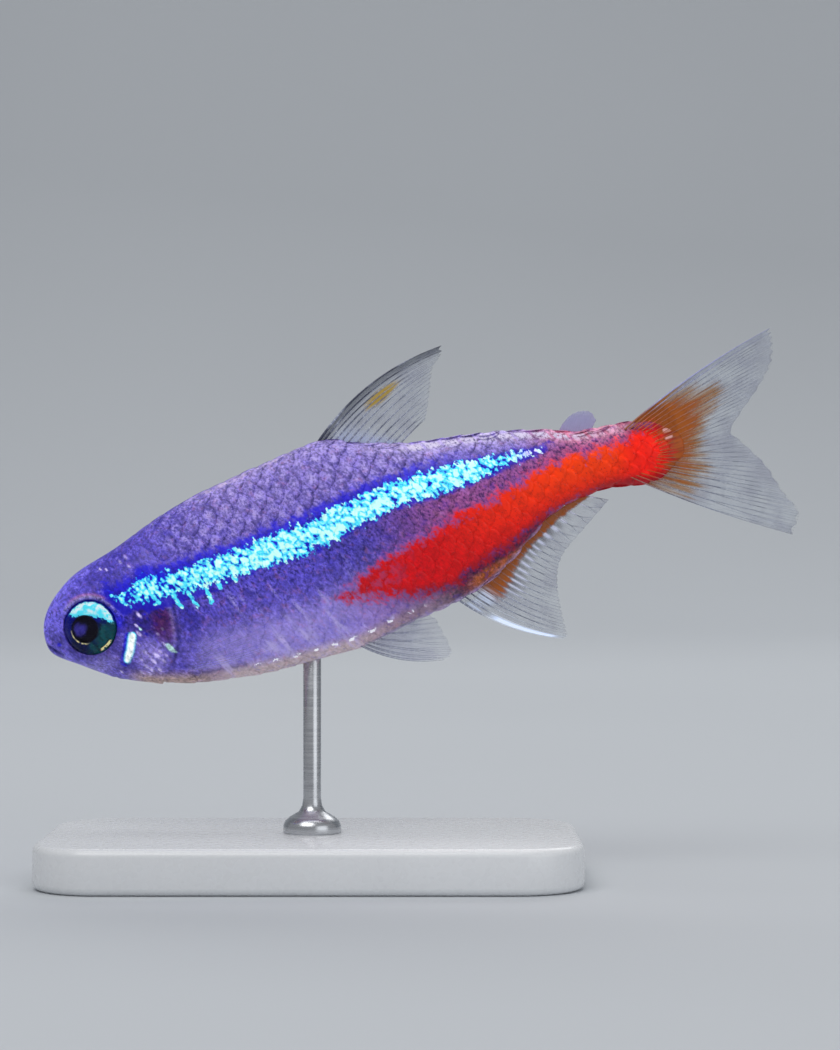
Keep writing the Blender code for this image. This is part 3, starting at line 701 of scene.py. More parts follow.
class Painter:
    """One material's node tree, with short ways to read fields, make patterns and lay colours over each other."""

    def __init__(self, name):
        self.material = bpy.data.materials.new(name)
        self.material.use_nodes = True
        self.tree = self.material.node_tree
        self.shader = self.tree.nodes[SURFACE]
        self.tint = None

    def read(self, name, output="Vector"):
        node = self.tree.nodes.new("ShaderNodeAttribute")
        node.attribute_name = name
        return node.outputs[output]

    def numbers(self, *names):
        return [Wire(self.tree, self.read(name, "Fac")) for name in names]

    def stretched(self, vector, x, y, z):
        node = self.tree.nodes.new("ShaderNodeMapping")
        node.inputs["Scale"].default_value = (x, y, z)
        self.tree.links.new(vector, node.inputs["Vector"])
        return node.outputs["Vector"]

    def object_place(self, x, y=None, z=None):
        source = self.tree.nodes.new("ShaderNodeTexCoord").outputs["Object"]
        return self.stretched(source, x, x if y is None else y, x if z is None else z)

    def parts(self, vector):
        node = self.tree.nodes.new("ShaderNodeSeparateXYZ")
        self.tree.links.new(vector, node.inputs[0])
        return [Wire(self.tree, out) for out in node.outputs]

    def join(self, *numbers):
        node = self.tree.nodes.new("ShaderNodeCombineXYZ")
        for entry, value in zip(node.inputs, numbers):
            connect(self.tree, entry, value)
        return node.outputs[0]

    def noise(self, vector, detail=2.0, roughness=0.5, distortion=0.0):
        return self.texture("ShaderNodeTexNoise", "Fac", vector, Detail=detail, Roughness=roughness,
                            Distortion=distortion)

    def cells(self, vector):
        return self.texture("ShaderNodeTexVoronoi", "Distance", vector, Randomness=1.0)

    def texture(self, kind, output, vector, **entries):
        node = self.tree.nodes.new(kind)
        for name, value in {"Scale": 1.0, **entries}.items():
            node.inputs[name].default_value = value
        self.tree.links.new(vector, node.inputs["Vector"])
        return Wire(self.tree, node.outputs[output])

    def lay(self, under, paint, amount):
        """paint over under. paint is a colour, or a socket that gives one."""
        node = self.tree.nodes.new("ShaderNodeMix")
        node.data_type = "RGBA"
        node.clamp_factor = True
        entries = [s for s in node.inputs if s.type == "RGBA"]
        for entry, value in zip((*entries, node.inputs["Factor"]), (under, paint, amount)):
            connect(self.tree, entry, value)
        return next(s for s in node.outputs if s.type == "RGBA")

    def coat(self, paint, amount):
        """Lays paint over the material's colour so far."""
        self.tint = self.lay(self.tint, paint, amount)

    def scaled(self, paint, amount):
        """A colour made darker or lighter by a number."""
        node = self.tree.nodes.new("ShaderNodeVectorMath")
        node.operation = "SCALE"
        self.tree.links.new(paint, node.inputs[0])
        self.tree.links.new(amount.socket, node.inputs["Scale"])
        return node.outputs[0]

    def glow(self, paint, amount, strength):
        self.feed(Emission_Color=self.lay(BLACK, paint, amount), Emission_Strength=strength)

    def feed(self, **entries):
        """Sends wires and sockets to the shader's inputs, or sets them. Underscores stand for spaces."""
        for name, value in entries.items():
            connect(self.tree, self.shader.inputs[name.replace("_", " ")], value)

    def surface(self, height, distance, strength, **entries):
        """Sends the colour so far, these entries and a bump to the shader, and gives the material."""
        node = self.tree.nodes.new("ShaderNodeBump")
        node.inputs["Strength"].default_value, node.inputs["Distance"].default_value = strength, distance
        self.tree.links.new(height.socket, node.inputs["Height"])
        self.feed(Base_Color=self.tint, Normal=node.outputs["Normal"], **entries)
        return self.material


def skin_material(paints):
    """Violet grain, scale margins, neon stripe and red band, for the skin and the scales alike."""
    p = Painter("tetra_skin")
    stripe, rise, red, below, shine, patchy, margin, heart, from_top, from_bottom = p.numbers(
        "stripe", "stripe_rise", "red", "below", "shine", "patchy", "margin", "heart", "from_top", "from_bottom")
    along, side, up = p.parts(p.read("place"))
    leaning = p.join(along + up * 0.28, side, up)

    def noise(x, y, z, *settings):
        return p.noise(p.stretched(leaning, x, y, z), *settings)

    # Pigment: fine speckle, broad blotches, loose dark dots, and shifts to blue and to pink
    fine = noise(8.0, 6.5, 6.2, 2.0, 0.70)
    broad = noise(2.7, 2.0, 2.2, 3.0, 0.62)
    pigment = p.cells(p.stretched(leaning, 6.6, 6.6, 6.0))
    dots = pigment.eased(0.26, 0.10)
    warm = noise(3.4, 3.0, 3.1, 2.0, 0.6)
    calm = below.eased(1.5, 2.8) * along.between(6.2, 7.2, 16.5, 18.5)
    p.tint = p.scaled(p.read("ground", "Color"), fine.eased(0.28, 0.72, -0.42, 0.46) * (1.0 - calm * 0.62) + 1.0)
    p.tint = p.scaled(p.tint, broad.eased(0.30, 0.70, -0.22, 0.22) * (1.0 - calm * 0.5) + 1.0)
    p.coat(paints.deep, warm.eased(0.46, 0.30) * 0.22)
    p.coat(paints.rose, warm.eased(0.54, 0.74) * along.eased(3.0, 9.0, 0.06, 0.16))
    p.coat(paints.pearl, (broad * 0.6 + fine * 0.4).eased(0.54, 0.66) * (along.eased(7.0, 3.0) * 0.10 + 0.08))
    p.coat(paints.ink, dots * (0.45 - calm * 0.35))
    # Pale centre and dark margin of each scale on the back, both broken up
    p.coat(paints.ridge, heart * patchy * (fine * 0.5 + broad * 0.5).eased(0.44, 0.60) * 0.60)
    p.coat(paints.ink, margin * (fine * 0.6 + broad * 0.4).eased(0.62, 0.42) * (patchy * 0.46 + 0.10))
    # Slanting pale streaks on the lower flank, like ribs showing through
    ribs = p.noise(p.stretched(p.join(along + up * 0.45, side, up), 1.5, 0.5, 0.42), 2.0, 0.6)
    low_flank = below.eased(0.3, 1.1) * along.between(5.9, 6.9, 12.5, 15.0)
    p.coat(paints.pearl, ribs.eased(0.53, 0.70) * low_flank * (fine * 0.7 + calm * 0.12).eased(0.26, 0.44) * 0.62)
    # Sharp dark grains just under the stripe
    p.coat((0.008, 0.006, 0.14), fine.eased(0.47, 0.34) * below.between(0.0, 0.1, 0.5, 1.3) * 0.55)
    # Painted highlights on the ridge: pale dashes behind the dorsal fin, one to a scale, and a pink highlight before it
    dash = (along * 1.25 + from_top * -0.8).fraction()
    ridge_highlights = dash.between(0.08, 0.2, 0.86, 0.98) * from_top.between(0.06, 0.16, 0.30, 0.50)
    ridge_highlights = ridge_highlights * along.eased(17.2, 18.2) * along.eased(24.5, 27.5, 1.0, 0.25) * fine.eased(0.34, 0.54)
    p.coat((0.84, 0.76, 1.0), ridge_highlights * 0.9)
    # A painted pink highlight along the ridge before the dorsal fin
    pink_highlight = from_top.between(0.01, 0.08, 0.12, 0.30) * along.between(7.4, 8.6, 12.4, 13.8)
    p.coat((0.80, 0.64, 0.88), pink_highlight * broad.eased(0.44, 0.60) * 0.50)
    # Silver dashes low on the belly
    silver = (along * 1.13 + broad * 0.9).fraction().between(0.30, 0.38, 0.60, 0.72) * fine.eased(0.42, 0.50)
    lift = from_bottom + warm.swing(0.35)
    silver = silver * along.between(8.4, 8.8, 16.4, 17.0) * lift.between(0.44, 0.49, 0.55, 0.60)
    p.coat((0.90, 0.92, 1.0), silver * 0.9)

    # Red band, its edges mingled with the violet
    fray = noise(2.4, 1.5, 1.9, 3.0, 0.65)
    ragged = red + fray.swing(1.3) + fine.swing(0.9)
    reds = (ragged - along.eased(12.8, 16.5, 0.36, 0.0)).eased(-0.40, 0.24)
    patchy_front = along.eased(17.5, 13.2) * (fray * 0.55 + broad * 0.45).eased(0.52, 0.42)
    spoke = up.sent("DIVIDE", up - 0.65, along - 25.6)
    fan = p.noise(p.join(spoke * 26.0, along * 0.5, 0.0))
    # Painted highlights: pink-white dashes where the flesh ends on the tail fin
    pink = fan.eased(0.53, 0.60) * along.between(29.05, 29.15, 29.4, 29.5) * up.between(0.75, 1.0, 1.5, 1.75)
    band = p.scaled(p.read("band", "Color"), fine.eased(0.3, 0.7, 0.86, 1.12))
    band = p.scaled(band, fray.eased(0.35, 0.65, 0.88, 1.10))
    for paint, amount in (
        (paints.maroon, dots * 0.38),
        (paints.plum, patchy_front * 0.62),
        (paints.maroon, along.eased(16.5, 13.0) * 0.35),
        (paints.plum, (ragged + warm.swing(1.2)).eased(0.34, -0.06) * below.eased(2.6, 1.9) * 0.55),
        # Where the flesh ends on the tail fin, fanned out with its rays
        (tone(166, 84, 28), (along + fan.swing(2.6)).eased(28.80, 29.45) * 0.95),
        ((0.12, 0.03, 0.015), fan.eased(0.50, 0.40) * along.eased(28.6, 29.2) * 0.45),
        # The painted pink-white highlights
        ((0.95, 0.55, 0.55), pink * 0.8),
    ):
        band = p.lay(band, paint, amount)
    p.coat(band, reds.most(along.eased(29.0, 29.3)))

    # Deep blue above the stripe, fading into the violet
    wander = noise(3.0, 2.0, 2.6, 4.0, 0.7)
    fringe = (stripe + wander.swing(1.5)).eased(-0.62, -0.16) * rise.eased(0.3, 0.7) * along.eased(21.5, 17.5)
    skirt = (stripe + along.eased(9.5, 7.5) * 0.22 + wander.swing(0.9)).eased(-0.24, -0.02)
    p.coat(paints.deep, (fringe * 0.86).most(skirt * 0.78))
    p.coat((0.004, 0.004, 0.22), fringe * wander.eased(0.52, 0.40) * 0.6)
    # The stripe itself: irregular bright clumps with blue between them, ragged at both edges
    flames = noise(4.6, 3.6, 2.7, 2.0, 0.62)
    frayed = stripe + flames.swing(1.05) + wander.swing(0.40) - along.eased(12.0, 6.0, 0.0, 0.05)
    lit, core = frayed.eased(-0.05, 0.04), frayed.eased(0.02, 0.42)
    clump = noise(4.3, 3.2, 3.7, 2.0, 0.56, 0.4)
    grain = p.cells(p.stretched(leaning, 4.9, 3.8, 4.4))
    bright = clump + (0.46 - grain) * 0.34 + core * 0.05 + rise.eased(1.0, 0.25) * 0.03
    bright = bright - along.eased(8.5, 5.0, 0.0, 0.10)
    # Leaning bright drops hang below its front part
    drops = []
    for a0, u0, a1, u1 in HANGING:
        da, du = a1 - a0, u1 - u0
        share = ((along - a0) * da + (up - u0) * du).eased(0.0, da * da + du * du)
        off_along, off_up = along - a0 - share * da, up - u0 - share * du
        drops.append((off_along * off_along + off_up * off_up + wander.swing(0.075)).eased(0.015, 0.005))
    hanging = drops[0].most(*drops[1:]) * (wander + 0.1).eased(0.46, 0.54)
    cyan = (lit * bright.eased(0.35, 0.47)).most(hanging)
    p.coat(paints.deep, lit * 0.9)
    p.coat((0.004, 0.17, 0.92), lit * bright.eased(0.31, 0.41) * 0.8)
    p.coat(p.lay(paints.aqua, paints.pearl, along.eased(22.0, 23.2)), cyan)
    p.coat(paints.white, cyan * bright.eased(0.49, 0.63) * 0.95)
    p.coat((0.40, 0.98, 0.80), cyan * bright.between(0.47, 0.53, 0.56, 0.62) * along.eased(13.0, 8.0) * 0.35)

    # Painted glow: the stripe's grains, the shining flecks and streak, the silver dashes, part of the blue fringe, the
    # red band and, faintly, the calm lower belly give off a little light in their own colour
    flesh_glow = reds * along.eased(29.3, 28.8, 0.32, 0.55)
    p.glow(p.tint, cyan.most(shine, silver, fringe * 0.55, flesh_glow, calm * 0.22), 0.38)
    gloss = cyan.most(shine)
    return p.surface(fine * 0.5 + cyan * 0.6 + pigment * 0.2, 0.018 * MM, 0.6,
                     Roughness=gloss.eased(0.0, 1.0, 0.44, 0.32), Metallic=gloss * 0.2,
                     Coat_Weight=0.12, Coat_Roughness=0.12, Specular_IOR_Level=0.20)


def iris_material(look):
    """Dark pupil, bright upper iris, teal ground and gold marks, on the eye's own places in mm."""
    p = Painter("tetra_iris")
    place = p.read("eye_place")
    x, z, _ = p.parts(place)
    rim, pupil = p.numbers("eye_rim", "eye_pupil")
    rough = p.noise(p.stretched(place, 6.5, 6.5, 6.5), 3.0, 0.68)
    patch = p.noise(p.stretched(place, 2.4, 2.4, 2.4))
    p.tint = p.lay(look.iris, look.moss, (x * 0.8 + z * -0.55 + patch.swing(2.0) + rough.swing(1.4)).eased(0.1, 0.9))
    p.coat((0.0, 0.001, 0.02), rough.eased(0.48, 0.62) * 0.8)
    p.coat((0.004, 0.02, 0.30), rough.eased(0.42, 0.30) * 0.45)
    p.coat(look.blue, (z - 0.15 + patch.swing(0.8)).eased(0.0, 0.3) * 0.8)
    p.coat(look.blue, (x * -1.0 - 0.80 + patch.swing(0.6)).eased(0.0, 0.2) * 0.5)
    # The bright crescent, ragged below, with a blue rim over it
    floor = x.eased(0.1, 1.15, 0.50, 0.20)
    crescent = (z - floor + rough.swing(0.65)).eased(-0.03, 0.04) * (rim + rough.swing(0.12)).eased(0.94, 0.89)
    bright = crescent * (z - floor).eased(0.04, 0.20) * patch.eased(0.40, 0.54)
    p.coat(look.blue, rim.eased(0.91, 0.95) * z.eased(0.1, 0.5) * 0.9)
    p.coat(look.flash, crescent)
    p.coat((0.80, 1.0, 1.0), bright * rough.eased(0.36, 0.52))
    # Gold marks under the pupil and low on the far rim
    gold_near = pupil.between(0.02, 0.05, 0.08, 0.12) * (x + z).eased(-0.55, -0.80) * z.eased(-0.12, -0.30)
    gold_far = rim.between(0.84, 0.87, 0.92, 0.95) * (x - z).eased(1.20, 1.40) * z.eased(-0.50, -0.60)
    gold = (gold_near * (x - z).eased(0.72, 0.50)).most(gold_far * x.eased(0.45, 0.55)) * rough.eased(0.40, 0.50)
    p.coat(look.gold, gold)
    # The pupil, with a violet sheen
    sheen_x, sheen_z = x + 0.44, z + 0.08
    spot = (sheen_x * sheen_x + sheen_z * sheen_z + patch.swing(0.30)).eased(0.16, -0.03)
    p.coat((0.001, 0.0, 0.008), pupil.eased(0.05, 0.0))
    p.coat((0.045, 0.035, 0.36), spot * pupil.eased(0.0, -0.1) * rough.eased(0.3, 0.6, 0.6, 1.0))
    # Painted glow on the bright crescent, the gold marks and the pupil's violet sheen
    p.glow(p.tint, crescent.most(gold, spot * 0.5), 0.35)
    return p.surface(rough, 0.02 * MM, 0.4, Roughness=0.3, Metallic=crescent * 0.2, Specular_IOR_Level=0.08)


def cornea_material():
    p = Painter("tetra_cornea")
    haze = p.noise(p.object_place(900.0))
    p.feed(Base_Color=(1.0, 1.0, 1.0), Roughness=haze.eased(0.3, 0.7, 0.0, 0.02), IOR=1.16, Transmission_Weight=1.0,
           Specular_IOR_Level=0.2)
    return p.material


def fin_material(name, look, kind):
    """Clear membrane between the rays. The colour runs from the fin's base to its edge."""
    p = Painter(name)
    out, across, web = p.numbers("fin_out", "fin_across", "fin_web")
    cloud = p.noise(p.object_place(700.0), 3.0)
    fine = p.noise(p.object_place(4200.0, 2600.0, 4200.0))
    streaks = p.noise(p.stretched(p.join(out, across, 0.0), 1.6, 60.0, 1.0))
    p.tint = p.lay(look.clear, look.haze, cloud.eased(0.35, 0.65) * 0.6)
    veil = cloud.eased(0.3, 0.7, 0.14, 0.30) + streaks.eased(0.45, 0.65) * 0.10
    if kind == "caudal":
        reach = across.eased(0.98, 0.42, 0.26, 0.52).least(across.eased(0.0, 0.3, 0.30, 0.54))
        base = (reach - out + cloud.swing(0.30) + streaks.swing(0.45)).eased(-0.20, 0.32)
        p.coat(tone(166, 118, 62), base.eased(0.0, 0.35))
        p.coat(look.base, base.eased(0.25, 0.85))
        veil = veil + base * 0.58 + base.eased(0.6, 1.0) * 0.12 + across.eased(0.06, 0.0) * 0.3 + 0.06
    if kind == "anal":
        # Orange foot, a comb of dark and pale dashes beyond it, and a bright front edge
        comb = across.between(0.2, 0.34, 0.8, 0.95)
        base = (0.30 - out + cloud.swing(0.12) + streaks.swing(0.16)).eased(-0.02, 0.10) * across.eased(0.12, 0.24)
        dark = out.eased(0.16, 0.26) * (out + streaks.swing(0.3)).eased(0.62, 0.30) * comb * web.eased(0.0, 0.9)
        pale = out.between(0.24, 0.30, 0.38, 0.56) * comb * web.eased(0.55, 0.15)
        second = across.eased(0.24, 0.16) * out.between(0.06, 0.12, 0.2, 0.30) * streaks.eased(0.42, 0.56) * 0.5
        lead = (across.eased(0.065, 0.03) * out.between(0.26, 0.42, 0.86, 0.99)).most(second)
        p.coat((0.05, 0.03, 0.05), dark * 0.7)
        p.coat(look.base, base)
        p.coat((0.78, 0.82, 1.0), pale)
        p.coat((0.80, 0.88, 1.0), lead)
        # Painted glow on the bright front edge, and faintly on the pale dashes
        p.glow((0.55, 0.68, 1.0), lead.most(pale * 0.2), 0.4)
        veil = veil + base * 0.62 + dark * 0.30 + lead * 0.80 + pale * 0.42
    if kind == "dorsal":
        # Yellow patch, dark front edge and a blue foot
        spot_out, spot_across = out - 0.50, across - 0.28
        spot = (spot_out * spot_out * 22.0 + spot_across * spot_across * 40.0 + streaks.swing(1.6)).eased(0.85, 0.2)
        front, foot = across.eased(0.22, 0.02), out.eased(0.24, 0.04) * across.eased(0.15, 0.3)
        p.coat(tone(196, 160, 40), spot)
        p.coat((0.05, 0.06, 0.09), front * 0.75)
        p.coat((0.50, 0.60, 0.95), foot * 0.7)
        veil = veil + spot * 0.45 + front * 0.34 + foot * 0.25
    if kind == "adipose":
        p.coat((0.46, 0.43, 0.74), 0.8)
        veil = veil + out.eased(1.0, 0.7, 0.22, 0.45)
    if kind in PAIRED_VEILS:
        lilac, clearness = PAIRED_VEILS[kind]
        p.coat(tone(160, 150, 236), lilac)
        veil = veil * clearness * out.eased(1.0, 0.55, 0.45, 1.0)
    return p.surface(fine + web * 0.6, 0.01 * MM, 0.6, Roughness=fine.eased(0.3, 0.7, 0.22, 0.42), Alpha=veil,
                    Coat_Weight=0.2, Coat_Roughness=0.15, Specular_IOR_Level=0.3)


def ray_material(name, look, kind):
    """Jointed rays, paler on their joints."""
    p = Painter(name)
    out, across, run = p.numbers("fin_out", "fin_across", "ray_run")
    ground, jointed, dark, solid = RAY_LOOKS.get(kind, RAY_LOOKS["middle"])
    joints = (run * 4.2).fraction().between(0.05, 0.14, 0.86, 0.98)
    cloud = p.noise(p.object_place(900.0))
    p.tint = p.lay(ground, look.bone, joints * jointed)
    p.coat((0.03, 0.035, 0.08), cloud.eased(0.44, 0.64) * dark)
    if kind == "caudal":
        reach = across.eased(0.98, 0.42, 0.26, 0.56).least(across.eased(0.0, 0.3, 0.34, 0.58))
        p.coat(look.base, (reach - out).eased(-0.05, 0.30) * 0.9)
        p.coat((0.70, 0.09, 0.01), out.eased(0.16, 0.08) * across.between(0.04, 0.14, 0.9, 1.0))
        p.coat((0.50, 0.52, 0.90), across.eased(0.07, 0.02) * out.eased(0.1, 0.3) * 0.8)
    if kind == "anal":
        p.coat((0.80, 0.82, 1.0), out.between(0.24, 0.30, 0.40, 0.58) * across.eased(0.2, 0.34))
        p.coat(look.base, out.eased(0.28, 0.16) * across.eased(0.12, 0.24) * 0.85)
        p.coat((0.86, 0.92, 1.0), across.eased(0.12, 0.08) * out.eased(0.20, 0.34))
    if kind == "dorsal":
        p.coat((0.02, 0.025, 0.06), across.eased(0.45, 0.1) * cloud.eased(0.35, 0.55) * 0.8)
    return p.surface(joints, 0.012 * MM, 0.7, Roughness=joints.eased(0.0, 1.0, 0.45, 0.28),
                    Alpha=out.eased(0.55, 1.0, 0.92, 0.5) * solid, Coat_Weight=0.2, Coat_Roughness=0.15)


def acrylic_material():
    p = Painter("stand_acrylic")
    cloud, fine = p.noise(p.object_place(90.0)), p.noise(p.object_place(2600.0), 1.0)
    p.tint = p.lay(tone(222, 224, 226), tone(229, 231, 233), cloud.eased(0.35, 0.65))
    return p.surface(fine, 0.0008 * MM, 0.2, Roughness=fine.eased(0.3, 0.7, 0.26, 0.30), Coat_Weight=0.2,
                    Coat_Roughness=0.2)


def steel_material():
    p = Painter("stand_steel")
    marks = p.noise(p.object_place(300.0, 300.0, 16000.0))
    p.tint = p.lay(tone(190, 192, 196), tone(204, 206, 209), marks.eased(0.35, 0.65))
    return p.surface(marks, 0.002 * MM, 0.4, Metallic=1.0, Roughness=marks.eased(0.3, 0.7, 0.24, 0.30))


def backdrop_material(paint):
    p = Painter("studio_backdrop")
    cloud = p.noise(p.object_place(6.0))
    p.feed(Base_Color=p.lay(paint, [c * 0.97 for c in paint], cloud.eased(0.35, 0.65)), Roughness=0.85,
           Specular_IOR_Level=0.15)
    return p.material


# Meshes

def new_object(name, data, material=None):
    obj = bpy.data.objects.new(name, data)
    bpy.context.scene.collection.objects.link(obj)
    if material:
        data.materials.clear()
        data.materials.append(material)
    return obj


def spokes_of(count):
    """Unit directions all round a point, in a plane."""
    angles = 2 * math.pi * np.arange(count) / count
    return np.column_stack((np.cos(angles), np.sin(angles)))


def grid_faces(rows, columns, closed=True):
    """Quads of a grid of points, row by row. closed joins the last column to the first."""
    faces = []
    for i in range(rows - 1):
        for j in range(columns if closed else columns - 1):
            k = (j + 1) % columns
            faces.append((i * columns + j, i * columns + k, (i + 1) * columns + k, (i + 1) * columns + j))
    return faces


def capped_faces(rows, columns):
    """A tube of rings with a fan to a point at each end. The two points come after the rings."""
    faces = grid_faces(rows, columns)
    tip, last = rows * columns, (rows - 1) * columns
    for i in range(columns):
        j = (i + 1) % columns
        faces += [(tip, j, i), (tip + 1, last + i, last + j)]
    return faces


def mesh_of(name, points, faces):
    """A smooth mesh with its normals outwards."""
    mesh = bpy.data.meshes.new(name)
    mesh.from_pydata(np.asarray(points, float).reshape(-1, 3).tolist(), [], faces)
    mesh.validate()
    tidy = bmesh.new()
    tidy.from_mesh(mesh)
    bmesh.ops.recalc_face_normals(tidy, faces=tidy.faces)
    tidy.to_mesh(mesh)
    tidy.free()
    mesh.shade_smooth()
    return mesh


def read_off(items, field, kind, width=1):
    """One number, or a row of numbers, from each of a mesh's items."""
    found = np.empty(len(items) * width, kind)
    items.foreach_get(field, found)
    return found if width == 1 else found.reshape(-1, width)


def settle(piece, slot, *nodes):
    """Ties a finished piece to the frame."""
    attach(piece, "root")
    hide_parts(*nodes)


def plain_mesh(obj, name):
    """The evaluated result of an object's modifiers as a new plain object. The old one is removed."""
    graph = bpy.context.evaluated_depsgraph_get()
    data = bpy.data.meshes.new_from_object(obj.evaluated_get(graph), preserve_all_data_layers=True, depsgraph=graph)
    old = obj.data
    bpy.data.objects.remove(obj)
    made = new_object(name, data)
    data.name = name
    if old.users == 0:
        bpy.data.meshes.remove(old)
    return made


# Geometry Nodes trees

def node_group(name, entries):
    """A new geometry tree with these inputs, as (tree, the inputs' sockets, the result's socket)."""
    tree = bpy.data.node_groups.new(name, "GeometryNodeTree")
    tree.interface.new_socket("Geometry", in_out="OUTPUT", socket_type="NodeSocketGeometry")
    for label, kind in {"Geometry": "Geometry", **entries}.items():
        tree.interface.new_socket(label, in_out="INPUT", socket_type=f"NodeSocket{kind}")
    return tree, tree.nodes.new("NodeGroupInput").outputs, tree.nodes.new("NodeGroupOutput").inputs[0]


def add_node(tree, kind, entries, output=None, **settings):
    """Adds a node with these settings and inputs, each by name or number, and gives its output."""
    node = tree.nodes.new(kind)
    for name, value in settings.items():
        setattr(node, name, value)
    for key, value in entries.items():
        named = [s for s in node.inputs if s.enabled and s.name == key]
        connect(tree, named[0] if named else node.inputs[key], value)
    return next(s for s in node.outputs if s.enabled and output in (None, s.name))


def named_field(tree, name, kind="FLOAT"):
    return add_node(tree, "GeometryNodeInputNamedAttribute", {"Name": name}, "Attribute", data_type=kind)


def run_tree(obj, tree, values):
    """Adds the tree as a modifier and sets its inputs by their identifiers."""
    modifier = obj.modifiers.new(tree.name, "NODES")
    modifier.node_group = tree
    sockets = {s.name: s.identifier for s in tree.interface.items_tree if s.in_out == "INPUT"}
    for label, value in values.items():
        modifier[sockets[label]] = value


def scale_tree():
    """Sets one scale on each point, turned to the skin, bends it over the body and makes all of them real."""
    tree, given, result = node_group("scale_coat", {
        "Scale": "Object", "Jitter": "Float", "Seed": "Int", "Material": "Material",
    })
    lie, out, size = (named_field(tree, name, "FLOAT_VECTOR") for name in ("lie", "out", "size"))
    across, droop = named_field(tree, "across"), named_field(tree, "droop")
    scale = add_node(tree, "GeometryNodeObjectInfo", {"Object": given["Scale"]}, "Geometry")
    upright = add_node(tree, "FunctionNodeAlignRotationToVector", {"Vector": out}, axis="Z")
    laid = add_node(tree, "FunctionNodeAlignRotationToVector", {"Rotation": upright, "Vector": lie},
                    axis="X", pivot_axis="Z")
    low = add_node(tree, "ShaderNodeMath", {0: 1.0, 1: given["Jitter"]}, operation="SUBTRACT")
    high = add_node(tree, "ShaderNodeMath", {0: 1.0, 1: given["Jitter"]}, operation="ADD")
    spread = add_node(tree, "FunctionNodeRandomValue", {"Min": low, "Max": high, "Seed": given["Seed"]},
                      data_type="FLOAT")
    size = add_node(tree, "ShaderNodeVectorMath", {0: size, "Scale": spread}, operation="SCALE")
    placed = add_node(tree, "GeometryNodeInstanceOnPoints",
                      {"Points": given["Geometry"], "Instance": scale, "Rotation": laid, "Scale": size})
    real = add_node(tree, "GeometryNodeRealizeInstances", {"Geometry": placed})
    square = add_node(tree, "ShaderNodeMath", {0: across, 1: across}, operation="MULTIPLY")
    depth = add_node(tree, "ShaderNodeMath", {0: square, 1: droop}, operation="MULTIPLY")
    inward = add_node(tree, "ShaderNodeVectorMath", {0: out, "Scale": depth}, operation="SCALE")
    bent = add_node(tree, "GeometryNodeSetPosition", {"Geometry": real, "Offset": inward})
    painted = add_node(tree, "GeometryNodeSetMaterial", {"Geometry": bent, "Material": given["Material"]})
    connect(tree, result, painted)
    return tree


def ray_tree():
    """Turns lines with a thickness at each point into closed round rays."""
    tree, given, result = node_group("fin_rays", {"Thickness": "Float", "Sides": "Int", "Material": "Material"})
    curve = add_node(tree, "GeometryNodeMeshToCurve", {"Mesh": given["Geometry"]})
    thickness = add_node(tree, "ShaderNodeMath", {0: named_field(tree, "thick"), 1: given["Thickness"]},
                         operation="MULTIPLY")
    circle = add_node(tree, "GeometryNodeCurvePrimitiveCircle", {"Resolution": given["Sides"], "Radius": 1.0})
    tube = add_node(tree, "GeometryNodeCurveToMesh",
                    {"Curve": curve, "Profile Curve": circle, "Scale": thickness, "Fill Caps": True})
    smooth = add_node(tree, "GeometryNodeSetShadeSmooth", {"Geometry": tube})
    real = add_node(tree, "GeometryNodeRealizeInstances", {"Geometry": smooth})
    painted = add_node(tree, "GeometryNodeSetMaterial", {"Geometry": real, "Material": given["Material"]})
    connect(tree, result, painted)
    return tree


# Skin and scales

FLESH = ("head", "lower_jaw", "gill_cover_left", "gill_cover_right", "trunk", "tail", "caudal_peduncle")
HEAD_SHARE, HEAD_END = 0.46, 6.3  # the share of the stations that the head has, and where it ends
# How the flesh ends on the tail fin: rings behind the last station, each with its distance and its size
STERN_RINGS = ((0.10, 0.95), (0.20, 0.84), (0.28, 0.68), (0.34, 0.48), (0.37, 0.24))
NOSE_TIP, STERN_TIP = (0.004, 0, 0), (0.02, 0, 0)


def station_places(count):
    """Stations along the body, closest together on the head."""
    share = np.linspace(0, 1, count)
    front = BODY_START + 0.004 + (HEAD_END - BODY_START) * (share / HEAD_SHARE) ** 1.35
    rear = HEAD_END + (BODY_END - HEAD_END) * (share - HEAD_SHARE) / (1 - HEAD_SHARE)
    return np.where(share < HEAD_SHARE, front, rear)


class TETRA_OT_skin(bpy.types.Operator):
    """Makes one seamless skin for head, trunk, tail and the root of the tail fin"""
    bl_idname = "tetra.skin"
    bl_label = "Make Skin"

    def execute(self, context):
        sizes, paints = context.scene.tetra_skin, context.scene.tetra_colours
        orbit, count = sizes.eye_reach / MM, sizes.round_steps
        # Rings of points. The first and last point of a ring meet under the belly
        angles = -math.pi / 2 + 2 * math.pi * np.arange(count) / count
        along, angle = np.meshgrid(station_places(sizes.stations), angles, indexing="ij")
        places = body_surface(along, angle)
        normals, _ = facing(along, angle)
        fade = ease(along, BODY_START, 0.25)
        places = places + normals * (relief(places, sizes.coat_depth / MM, orbit) * fade)[..., None]
        rings = [seat_eyes(places, orbit)]
        last = places[-1]
        middle = last[:, 2].mean()
        for reach, narrow in STERN_RINGS:
            rings.append((last * (1, narrow, narrow) + (reach, 0, middle * (1 - narrow)))[None])
        grid = np.concatenate(rings)
        points = np.vstack((grid.reshape(-1, 3), grid[0].mean(axis=0) - NOSE_TIP, grid[-1].mean(axis=0) + STERN_TIP))
        mesh = mesh_of("body_skin", to_model(points), capped_faces(len(grid), count))
        piece = new_object("body_skin", mesh, context.scene.tetra_material)
        paint_fields(mesh, points, paints)
        lay_out_skin(mesh, len(grid), count)
        settle(piece, "skin", *FLESH)
        return {"FINISHED"}


